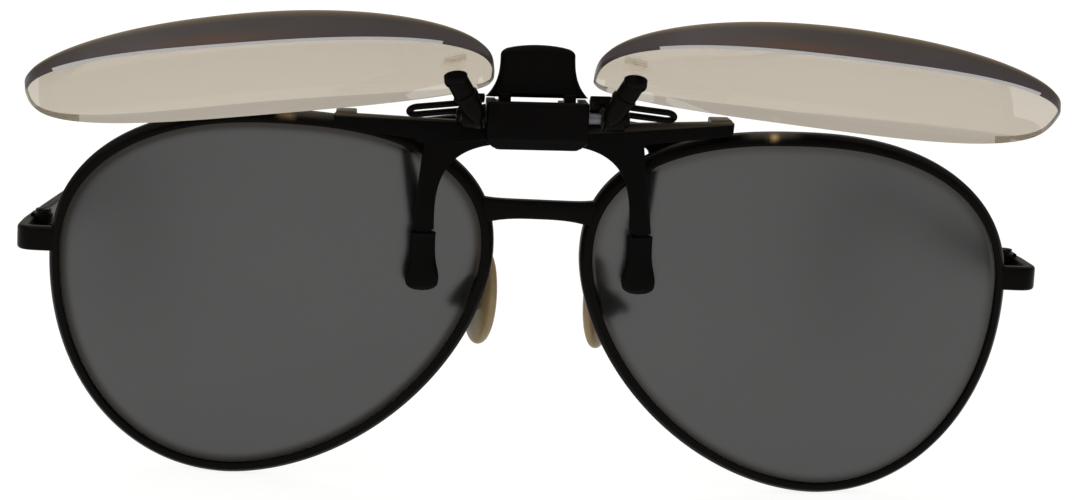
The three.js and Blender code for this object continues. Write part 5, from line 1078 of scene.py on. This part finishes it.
axle_steel = marked_finish(
    "axle_steel", AXLE_DARK, AXLE_LIGHT, rough=(0.3, 0.5), scales=STEEL_MARKS, grain_depth=STEEL_GRAIN,
    speck_share=0.3, sockets={"Metallic": 1.0},
)
axle_end = bracket_to + FACE_GAP + AXLE_HEAD_LENGTH
dome = np.linspace(DOME_FROM, np.pi / 2, DOME_STEPS)
dome_along = AXLE_HEAD_LENGTH * (1 - np.cos(dome)) ** DOME_RISE
head = np.stack((dome_along, AXLE_HEAD * np.sin(dome) ** DOME_FULLNESS), -1)
half_axle = np.concatenate((head, [(AXLE_HEAD_LENGTH + SHAFT_STEP, AXLE_RADIUS)]))
axle_profile = np.concatenate((half_axle, (half_axle * (-1, 1) + (2 * axle_end, 0))[::-1]))
axle_skin = flip_skin(turned((-axle_end, 0, 0), (1, 0, 0), axle_profile, AXLE_SIDES))
axle = piece("axle_pin", [axle_skin], axle_steel, "flip_unit", "flip_axle")
axle.data.materials.append(lacquer)
lacquered = np.ones(len(axle.data.polygons), int)
lacquered[len(head) * AXLE_SIDES:(len(head) + 1) * AXLE_SIDES] = 0
axle.data.polygons.foreach_set("material_index", lacquered)

# Friction washers: thin stamped rings of blued steel on the axle beside the brackets, which hold the lenses
# at any angle.
WASHER_BORE, WASHER_RADIUS, WASHER_EDGE, WASHER_EDGE_STEPS = 0.9, 1.6, 0.08, 2

for word, side in SIDES:
    foot, way = (side * WASHER_FROM, 0, 0), (side, 0, 0)
    ring = bushing(
        foot, way, WASHER_THICKNESS, WASHER_RADIUS, WASHER_BORE, WASHER_EDGE, WASHER_EDGE_STEPS,
    )
    piece(
        f"thrust_ring_{word}", [flip_skin(ring, loop=True)], blued, "flip_unit", f"friction_washer_{word}",
    )

# Magnifying lenses: rimless moulded resin, flat behind and crowned in front, with a ground edge. The back
# bevel carries a painted pale grey highlight at the top and bottom, and colours laid on the edge paint its
# light and shade. They come before the brackets, which are measured from them.
FLIP_WIDTH, FLIP_HEIGHT, FLIP_STEPS = 60.0, 25.2, 300
FLIP_SHAPE = (FLIP_WIDTH, FLIP_HEIGHT, (1.7, -1.2, 7.4, 6.3), (2.97, 2.92, 2.7, 2.53))
FLIP_GAP, FLIP_ABOVE, FLIP_STANDOFF, FLIP_THICKNESS, FLIP_CROWN = 13.1, 4.45, 4.5, 4.85, 135.0
FLIP_WRAP = math.radians(6.6)
FLIP_RINGS, EDGE_BEVEL = 24, 0.3
WALL_SHARES = np.array((0.0, 0.08, 0.2, 0.5, 0.72, 0.85, 1.0))
BEFORE_WALL, BEHIND_WALL = -0.1, 1.0
LENS_SCREW_IN, LENS_SCREW_DROP = 5.3, 5.4
MAGNIFIER_TINT = (0.58, 0.525, 0.44)
GROUND_EDGE, GROUND_EDGE_PALE = (0.038, 0.031, 0.029), (0.057, 0.049, 0.048)
# Colours laid over the ground edge: a painted brown sheen along the wall's edge by the crowned face, painted
# light that makes the back-turned side of the wall pale, and violet and amber tints towards the flat back.
EDGE_COLOURS = {
    "brown_sheen": (0.19, 0.14, 0.08),
    "violet": (0.05, 0.037, 0.05),
    "amber": (0.1, 0.05, 0.025),
    "pale": (0.88, 0.82, 0.73),
}
BROWN_SHEEN_SHOWS, BROWN_SHEEN_REACH = 0.6, 0.14
FRINGE_FROM_MIDDLE, FRINGE_REACH, VIOLET_SHOWS, VIOLET_LOSS, AMBER_SHOWS = 6, 9, 0.75, 0.5, 0.6
LOW_FROM, LOW_OVER, LOW_FADE, LOW_LEAST = 0.55, 0.3, 0.1, 0.3
PAINTED_LIGHT_FROM, PAINTED_LIGHT_OVER = 0.35, 0.6
GLINT_LINE_GREY, GLINT_PALE_GREY = (0.42, 0.43, 0.46), (0.5, 0.51, 0.53)
CLEAR_FACE, GROUND_WALL, GLINT_BEVEL = 0, 1, 2
GROUND_UP_TO, GLINT_FROM = 0.88, 0.85

flip_middle = FLIP_ABOVE - FLIP_HEIGHT / 2
screw_spot = np.array((LENS_SCREW_IN - FLIP_WIDTH / 2, -LENS_SCREW_DROP - flip_middle))


def on_magnifier(side, edge, forward):
    """Points of a hanging magnifier: out and up from its box centre, and forward of its flat back, turned
    about the nose side by the wrap."""
    edge = np.asarray(edge, float)
    from_nose = edge[..., 0] + FLIP_WIDTH / 2
    x = FLIP_GAP / 2 + from_nose * math.cos(FLIP_WRAP) + forward * math.sin(FLIP_WRAP)
    y = -FLIP_STANDOFF + from_nose * math.sin(FLIP_WRAP) - forward * math.cos(FLIP_WRAP)
    return np.stack((side * x, y, np.broadcast_to(flip_middle + edge[..., 1], x.shape)), -1)


def magnifier_depth(edge):
    """Thickness of the lens: less towards the edge by the sphere's sag, r^2 / 2R."""
    return FLIP_THICKNESS - (np.asarray(edge) ** 2).sum(-1) / (2 * FLIP_CROWN)


def magnifier_forward(side):
    """The way out of a magnifier's front."""
    return np.array((side * math.sin(FLIP_WRAP), -math.cos(FLIP_WRAP), 0.0))


clear_resin = dyed_resin("clear_resin", MAGNIFIER_TINT, rough=(0.03, 0.1), cloud_scale=30)
ground = marked_finish(
    "ground_edge", GROUND_EDGE, GROUND_EDGE_PALE, rough=(0.3, 0.5), scales=(3000, 150, 900),
    grain_depth=1e-5, speck_share=0.1, sockets={"Specular IOR Level": 0.2},
)
for label, colour in EDGE_COLOURS.items():
    stain_or_painted_light(ground, label, colour)
# Painted highlight: an opaque pale blue-grey finish that stands for the thin reflections along the lens's
# edges.
bevel_glint = marked_finish(
    "painted_bevel_glint", GLINT_LINE_GREY, GLINT_PALE_GREY, rough=(0.08, 0.16), scales=(4000, 200, 900),
    grain_depth=2e-6, speck_share=0.1,
)
edge = lens_edge(FLIP_SHAPE, FLIP_STEPS)
inner = lens_edge(FLIP_SHAPE, FLIP_STEPS, -EDGE_BEVEL)
outward_up = (lens_edge(FLIP_SHAPE, FLIP_STEPS, 1.0) - edge)[:, 1]
shares = face_shares(FLIP_RINGS)
wall_top = magnifier_depth(edge) - EDGE_BEVEL
wall_end = len(shares) + len(WALL_SHARES) - 1
zone = np.full((wall_end + len(shares), FLIP_STEPS), CLEAR_FACE)
zone[len(shares) - 1:wall_end] = np.where(outward_up > GROUND_UP_TO, CLEAR_FACE, GROUND_WALL)
# Painted highlight: the back bevel takes the pale grey finish where the edge runs level, at the top and
# bottom of the lens.
zone[wall_end] = np.where(np.abs(outward_up) < GLINT_FROM, GROUND_WALL, GLINT_BEVEL)
by_face = np.concatenate((zone.ravel(), [CLEAR_FACE, CLEAR_FACE]))
faces = [np.full(len(shares), share) for share in (BEFORE_WALL, BEHIND_WALL)]
across = np.concatenate((faces[0], WALL_SHARES, faces[1]))[:, None]
low = np.clip((across - LOW_FROM) / LOW_OVER, 0, 1) * np.clip((1 - across) / LOW_FADE, LOW_LEAST, 1)
# Painted reflection: a brown sheen along the edge of the wall next to the crowned face, the upper edge of the
# band when flipped up, fading across the wall.
brown_sheen = BROWN_SHEEN_SHOWS * np.clip(1 - across / BROWN_SHEEN_REACH, 0, 1)
# Painted light and shade: the wall is painted pale beige where its edge faces up in the hanging lens, the
# side turned back when the lenses are flipped up, and keeps the dark ground colour on the near side.
pale = 1 - np.clip((PAINTED_LIGHT_FROM - outward_up) / PAINTED_LIGHT_OVER, 0, 1)
for word, side in SIDES:
    rings = [on_magnifier(side, inner * share, magnifier_depth(inner * share)) for share in shares]
    rings += [on_magnifier(side, edge, wall_top * (1 - share) + EDGE_BEVEL * share) for share in WALL_SHARES]
    rings += [on_magnifier(side, inner * share, np.zeros(FLIP_STEPS)) for share in shares[::-1]]
    lens = piece(
        f"magnifier_{word}", [flip_skin(rings)], clear_resin, "flip_unit", f"flip_lens_{word}",
        sharp=25,
    )
    lens.data.materials.append(ground)
    lens.data.materials.append(bevel_glint)
    lens.data.polygons.foreach_set("material_index", by_face)
    fringe = np.exp(-((edge[:, 0] + FRINGE_FROM_MIDDLE * side) / FRINGE_REACH) ** 2)
    point_values(lens, "brown_sheen", brown_sheen * np.ones(FLIP_STEPS))
    point_values(lens, "violet", low * (VIOLET_SHOWS - VIOLET_LOSS * fringe))
    point_values(lens, "amber", low * AMBER_SHOWS * fringe)
    point_values(lens, "pale", pale * np.ones_like(across))

# Lens brackets: die-cast and lacquered black. Each has a knuckle fixed on the axle, an ear for the wire loop,
# and a collared stud that leans out to the back of its magnifier. The right one has a heel over the axle too.
KNUCKLE_BORE, KNUCKLE_EDGE, KNUCKLE_EDGE_STEPS = 0.9, 0.25, 4
STUD_RADIUS, STUD_COLLAR, STUD_START, STUD_SINK = 1.45, 0.25, (0.6, -1.8), 0.3
STUD_ROOT = ((-0.9, 0.4), (-0.7, 0.9), (0, 1.2), (0.6, 1.35))
COLLAR_ROWS = ((0.3, 0), (0.44, 0), (0.45, 0.8), (0.47, 1), (0.54, 1), (0.56, 0.8), (0.57, 0), (0.95, 0))
BOSS_HEIGHT, BOSS_COLLAR, BOSS_SHORT, BOSS_DOME_END = 0.5, 0.1, 0.3, 0.6
BOSS_DOME = ((0, 0.5), (0.05, 1.0), (0.25, 1.35))
EAR_WALL, EAR_CORNER, LUG_CORNER, CAST_ROUNDING = 0.4, 0.4, 0.3, 0.2
LENS_LUG, LENS_LUG_REACH = 0.9, 0.8
LUG_INWARD = {"left": -0.1, "right": 1.4}
LUG_FOOT = {"left": 2.2, "right": 1.65}
HEEL_GAP = 0.05
REST_RISE, REST_WIDTH, REST_SETBACK, REST_WIRE, REST_LENGTH = 0.5, 2.1, 2.2, 0.42, 6.8

ear_middle = REST_SETBACK - FLIP_STANDOFF + (bracket_from - FLIP_GAP / 2) * math.tan(FLIP_WRAP)
ear_half = REST_WIRE + EAR_WALL
ear_top = REST_RISE + REST_WIDTH + ear_half
ear_edge = soften(rectangle(ear_middle - ear_half, -ear_half, ear_middle + ear_half, ear_top), EAR_CORNER)
lug_front = ear_middle - LENS_LUG_REACH
heel_back = -AXLE_RADIUS - HEEL_GAP
heel_edge = soften(rectangle(lug_front, -LENS_LUG, heel_back, LENS_LUG), LUG_CORNER)
boss_side = STUD_RADIUS + BOSS_COLLAR
boss_end = BOSS_HEIGHT + STUD_RADIUS - BOSS_SHORT
boss_profile = [
    *BOSS_DOME, (BOSS_DOME_END, boss_side), (boss_end - BOSS_COLLAR, boss_side), (boss_end, STUD_RADIUS),
]
hanging = side_view(in_flip)
for word, side in SIDES:
    foot, way = (side * bracket_from, 0, 0), (side, 0, 0)
    knuckle = bushing(
        foot, way, BRACKET_WIDTH, BRACKET_RADIUS, KNUCKLE_BORE, KNUCKLE_EDGE, KNUCKLE_EDGE_STEPS,
    )
    lug_back = max(ear_middle, -LUG_FOOT[word])
    lug_edge = soften(rectangle(lug_front, -LENS_LUG, lug_back, LENS_LUG), LUG_CORNER)
    lug_inside = WASHER_FROM - LUG_INWARD[word]
    lug_span = sorted((side * lug_inside, side * (bracket_from + LENS_LUG)))
    ear_span = sorted((side * bracket_from, side * bracket_to))
    parts = [
        flip_skin(knuckle, loop=True),
        slab(lug_edge, lug_span, CAST_ROUNDING, hanging),
        slab(ear_edge, ear_span, CAST_ROUNDING, hanging),
    ]
    if LUG_INWARD[word] > 0:
        parts.append(slab(heel_edge, (lug_inside, WASHER_FROM - HEEL_GAP), CAST_ROUNDING, hanging))
    start = np.array((side * (bracket_from + BRACKET_WIDTH * STUD_SINK), *STUD_START))
    stop = on_magnifier(side, screw_spot, -STUD_RADIUS / 2)
    length = np.linalg.norm(stop - start)
    collar = [(share * length, STUD_RADIUS + STUD_COLLAR * rise) for share, rise in COLLAR_ROWS]
    parts.append(flip_skin(turned(start, stop - start, [*STUD_ROOT, *collar])))
    boss_foot = on_magnifier(side, screw_spot, -BOSS_HEIGHT - STUD_RADIUS)
    parts.append(flip_skin(turned(boss_foot, magnifier_forward(side), boss_profile)))
    piece(f"bracket_{word}", parts, lacquer, "flip_unit", f"lens_bracket_{word}")

# Wire loops: round lacquered wire pressed into the bracket's ear and bent back on itself. The loop props the
# edge of the lens and leans a little off its back.
REST_LEAN, REST_SUNK, REST_STEPS, REST_BEND_STEPS, REST_SIDES = 0.13, 1.2, 18, 25, 18

radius = REST_WIDTH / 2
rest_middle = REST_RISE + radius
bend = bracket_to + REST_LENGTH - radius
angle = np.linspace(-np.pi / 2, np.pi / 2, REST_BEND_STEPS)
leg = np.linspace(bracket_to - REST_SUNK, bend, REST_STEPS, endpoint=False)
x = np.concatenate((leg, bend + radius * np.cos(angle), leg[::-1]))
legs = [np.full(REST_STEPS, height) for height in (REST_RISE, REST_RISE + REST_WIDTH)]
z = np.concatenate((legs[0], rest_middle + radius * np.sin(angle), legs[1]))
y = -FLIP_STANDOFF + (x - FLIP_GAP / 2) * math.tan(FLIP_WRAP) + REST_SETBACK + REST_LEAN * (z - rest_middle)
for word, side in SIDES:
    route = np.stack((side * x, y, z), -1)
    loop = flip_skin(carried(route, circle(REST_SIDES, REST_WIRE), (0, 1, 0)))
    piece(f"wire_loop_{word}", [loop], lacquer, "flip_unit", f"edge_rest_{word}", sharp=60)

# Lens washers and screws: turned from clear nylon, so that they hardly show. The washer lies in a shallow
# seat on the lens's front, under a slotted screw that runs through the lens into the stud.
NYLON_CLEAR, NYLON_CLOUDY = (0.985, 0.975, 0.955), (0.97, 0.955, 0.93)
SEAT_DEPTH, SEAT_BORE, SEAT_RADIUS, SEAT_THICKNESS, SEAT_EDGE = 0.3, 0.8, 1.9, 0.4, 0.1
LENS_SCREW_HEAD, LENS_SCREW_HEAD_HEIGHT, LENS_SCREW_SLOT, LENS_SCREW_ACROSS = 1.5, 0.65, 0.3, (0, 1, -0.5)
LENS_SCREW_SUNK, LENS_SCREW_RADIUS, LENS_SCREW_POINT, LENS_SCREW_CHAMFER = 1.4, 0.7, 0.5, 0.2
HEAD_ABOVE_SEAT, LENS_SCREW_SIDES = 0.7, 32

clear_nylon = marked_finish(
    "clear_nylon", NYLON_CLEAR, NYLON_CLOUDY, rough=(0.04, 0.1), scales=(2600, 300, 900),
    grain_depth=5e-7, sockets={"Transmission Weight": 1.0, "IOR": 1.005},
)
screw_seat = float(magnifier_depth(screw_spot)) - SEAT_DEPTH
head_foot = screw_seat + HEAD_ABOVE_SEAT
lens_screw_profile = [
    (0, LENS_SCREW_POINT), (LENS_SCREW_CHAMFER, LENS_SCREW_RADIUS),
    (LENS_SCREW_SUNK + head_foot, LENS_SCREW_RADIUS),
]
for word, side in SIDES:
    foot, way = on_magnifier(side, screw_spot, screw_seat + FACE_GAP), magnifier_forward(side)
    ring = bushing(foot, way, SEAT_THICKNESS, SEAT_RADIUS, SEAT_BORE, SEAT_EDGE)
    piece(
        f"seat_ring_{word}", [flip_skin(ring, loop=True)], clear_nylon, "flip_unit", f"lens_washer_{word}",
    )
    point = on_magnifier(side, screw_spot, -LENS_SCREW_SUNK)
    shank = flip_skin(turned(point, way, lens_screw_profile, LENS_SCREW_SIDES))
    seat = in_flip(on_magnifier(side, screw_spot, head_foot))
    top = in_flip(on_magnifier(side, screw_spot, head_foot + 1))
    head = slotted_head(
        seat, top - seat, LENS_SCREW_HEAD, LENS_SCREW_HEAD_HEIGHT, LENS_SCREW_SLOT, LENS_SCREW_ACROSS,
    )
    piece(f"lens_pin_{word}", [shank, *head], clear_nylon, "flip_unit", f"lens_screw_{word}")

# Stage: a pale paper floor that keeps the object's shadow and looks white to the camera, a surround that
# looks pale and lights more from above, and one broad soft lamp from the upper left.
FLOOR_HALF = 8
PAPER, PAPER_GLOW, PAPER_GLOW_SHARE = (0.9, 0.9, 0.9, 1), 1.11, 0.8
SKY_LOW, SKY_HIGH, SKY_FROM, SKY_TO = (0.3, 0.28, 0.25, 1), (1.15, 1.1, 1.02, 1), 0.1, 0.9
LAMP_POWER, LAMP_SIZE, LAMP_PLACE, LAMP_AIM = 2.0, 0.6, (-0.4, -0.6, 0.7), (0, -0.05, 0.03)


def seen_by(tree, *kinds):
    """One where a ray is of any of the kinds that Light Path names, and zero elsewhere."""
    rays = wired(tree, "LightPath")
    seen = rays[kinds[0]]
    for kind in kinds[1:]:
        seen = wired(tree, "Math", {0: seen, 1: rays[kind]}, operation="MAXIMUM")[0]
    return seen


floor_mesh = bpy.data.meshes.new("floor")
floor_corners = [(x, y, 0) for x, y in rectangle(-FLOOR_HALF, -FLOOR_HALF, FLOOR_HALF, FLOOR_HALF)]
floor_mesh.from_pydata(floor_corners, [], [(0, 1, 2, 3)])
floor = bpy.data.objects.new("floor", floor_mesh)
bpy.context.collection.objects.link(floor)
paper = bpy.data.materials.new("paper")
paper.use_nodes = True
tree = paper.node_tree
tree.nodes.clear()
seen = seen_by(tree, "Is Camera Ray", "Is Glossy Ray", "Is Transmission Ray")
share = wired(tree, "Math", {0: seen, 1: PAPER_GLOW_SHARE}, operation="MULTIPLY")[0]
matt = wired(tree, "BsdfDiffuse", {"Color": PAPER})[0]
glow = wired(tree, "Emission", {"Strength": PAPER_GLOW})[0]
wired(tree, "OutputMaterial", {"Surface": wired(tree, "MixShader", {0: share, 1: matt, 2: glow})[0]})
floor_mesh.materials.append(paper)

world = bpy.data.worlds.new("studio")
world.use_nodes = True
bpy.context.scene.world = world
tree = world.node_tree
way = wired(tree, "SeparateXYZ", {0: wired(tree, "TexCoord")["Generated"]})
rise = wired(tree, "MapRange", {"Value": way["Z"], "From Min": SKY_FROM, "From Max": SKY_TO})["Result"]
sky = wired(tree, "Mix", {"A": SKY_LOW, "B": SKY_HIGH, "Factor": rise}, data_type="RGBA")["Result"]
dimmer = tree.nodes["Background"]
tree.links.new(sky, dimmer.inputs["Color"])
pale_surround = wired(tree, "Background")[0]
seen = seen_by(tree, "Is Camera Ray", "Is Transmission Ray")
surround = wired(tree, "MixShader", {0: seen, 1: dimmer.outputs[0], 2: pale_surround})[0]
tree.links.new(surround, tree.nodes["World Output"].inputs["Surface"])

lamp = bpy.data.lights.new("key", "AREA")
lamp.energy = LAMP_POWER
lamp.size = LAMP_SIZE
key = bpy.data.objects.new("key", lamp)
key.location = LAMP_PLACE
key.rotation_euler = (Vector(LAMP_AIM) - Vector(LAMP_PLACE)).to_track_quat("-Z", "Y").to_euler()
bpy.context.collection.objects.link(key)

# Camera: in front of the lenses, a little to the left and above them, rolled as the photograph is. It aims so
# that the middle of the front falls on its pixel of the photograph.
YAW, ELEVATION, ROLL = math.radians(-3.917), math.radians(10), math.radians(2.964)
DISTANCE, FOCAL_PIXELS, IMAGE_WIDTH, IMAGE_HEIGHT = 0.350, 2562.0, 1075, 500
AIM_PIXEL = (533.3, 311.4)
SENSOR_WIDTH, CLIP_START, CLIP_END = 36, 0.01, 50

target = Vector(FRONT_PLACE * MILLIMETRE)
level = math.cos(ELEVATION)
back = Vector((math.sin(YAW) * level, -math.cos(YAW) * level, math.sin(ELEVATION)))
right = Vector((0, 0, 1)).cross(back).normalized()
up = back.cross(right)
rolled_right = right * math.cos(ROLL) + up * math.sin(ROLL)
rolled_up = up * math.cos(ROLL) - right * math.sin(ROLL)
middle = -back * FOCAL_PIXELS
middle += rolled_right * (IMAGE_WIDTH / 2 - AIM_PIXEL[0])
middle += rolled_up * (AIM_PIXEL[1] - IMAGE_HEIGHT / 2)
forward = middle.normalized()
camera_up = (rolled_up - forward * rolled_up.dot(forward)).normalized()
camera_right = forward.cross(camera_up)
camera_data = bpy.data.cameras.new("camera")
camera_data.lens = FOCAL_PIXELS * SENSOR_WIDTH / IMAGE_WIDTH
camera_data.clip_start, camera_data.clip_end = CLIP_START, CLIP_END
camera = bpy.data.objects.new("camera", camera_data)
camera_turn = Matrix((camera_right, camera_up, -forward)).transposed()
camera.matrix_world = Matrix.Translation(target + back * DISTANCE) @ camera_turn.to_4x4()
bpy.context.collection.objects.link(camera)
bpy.context.scene.camera = camera
bpy.context.scene.view_settings.view_transform = "Standard"
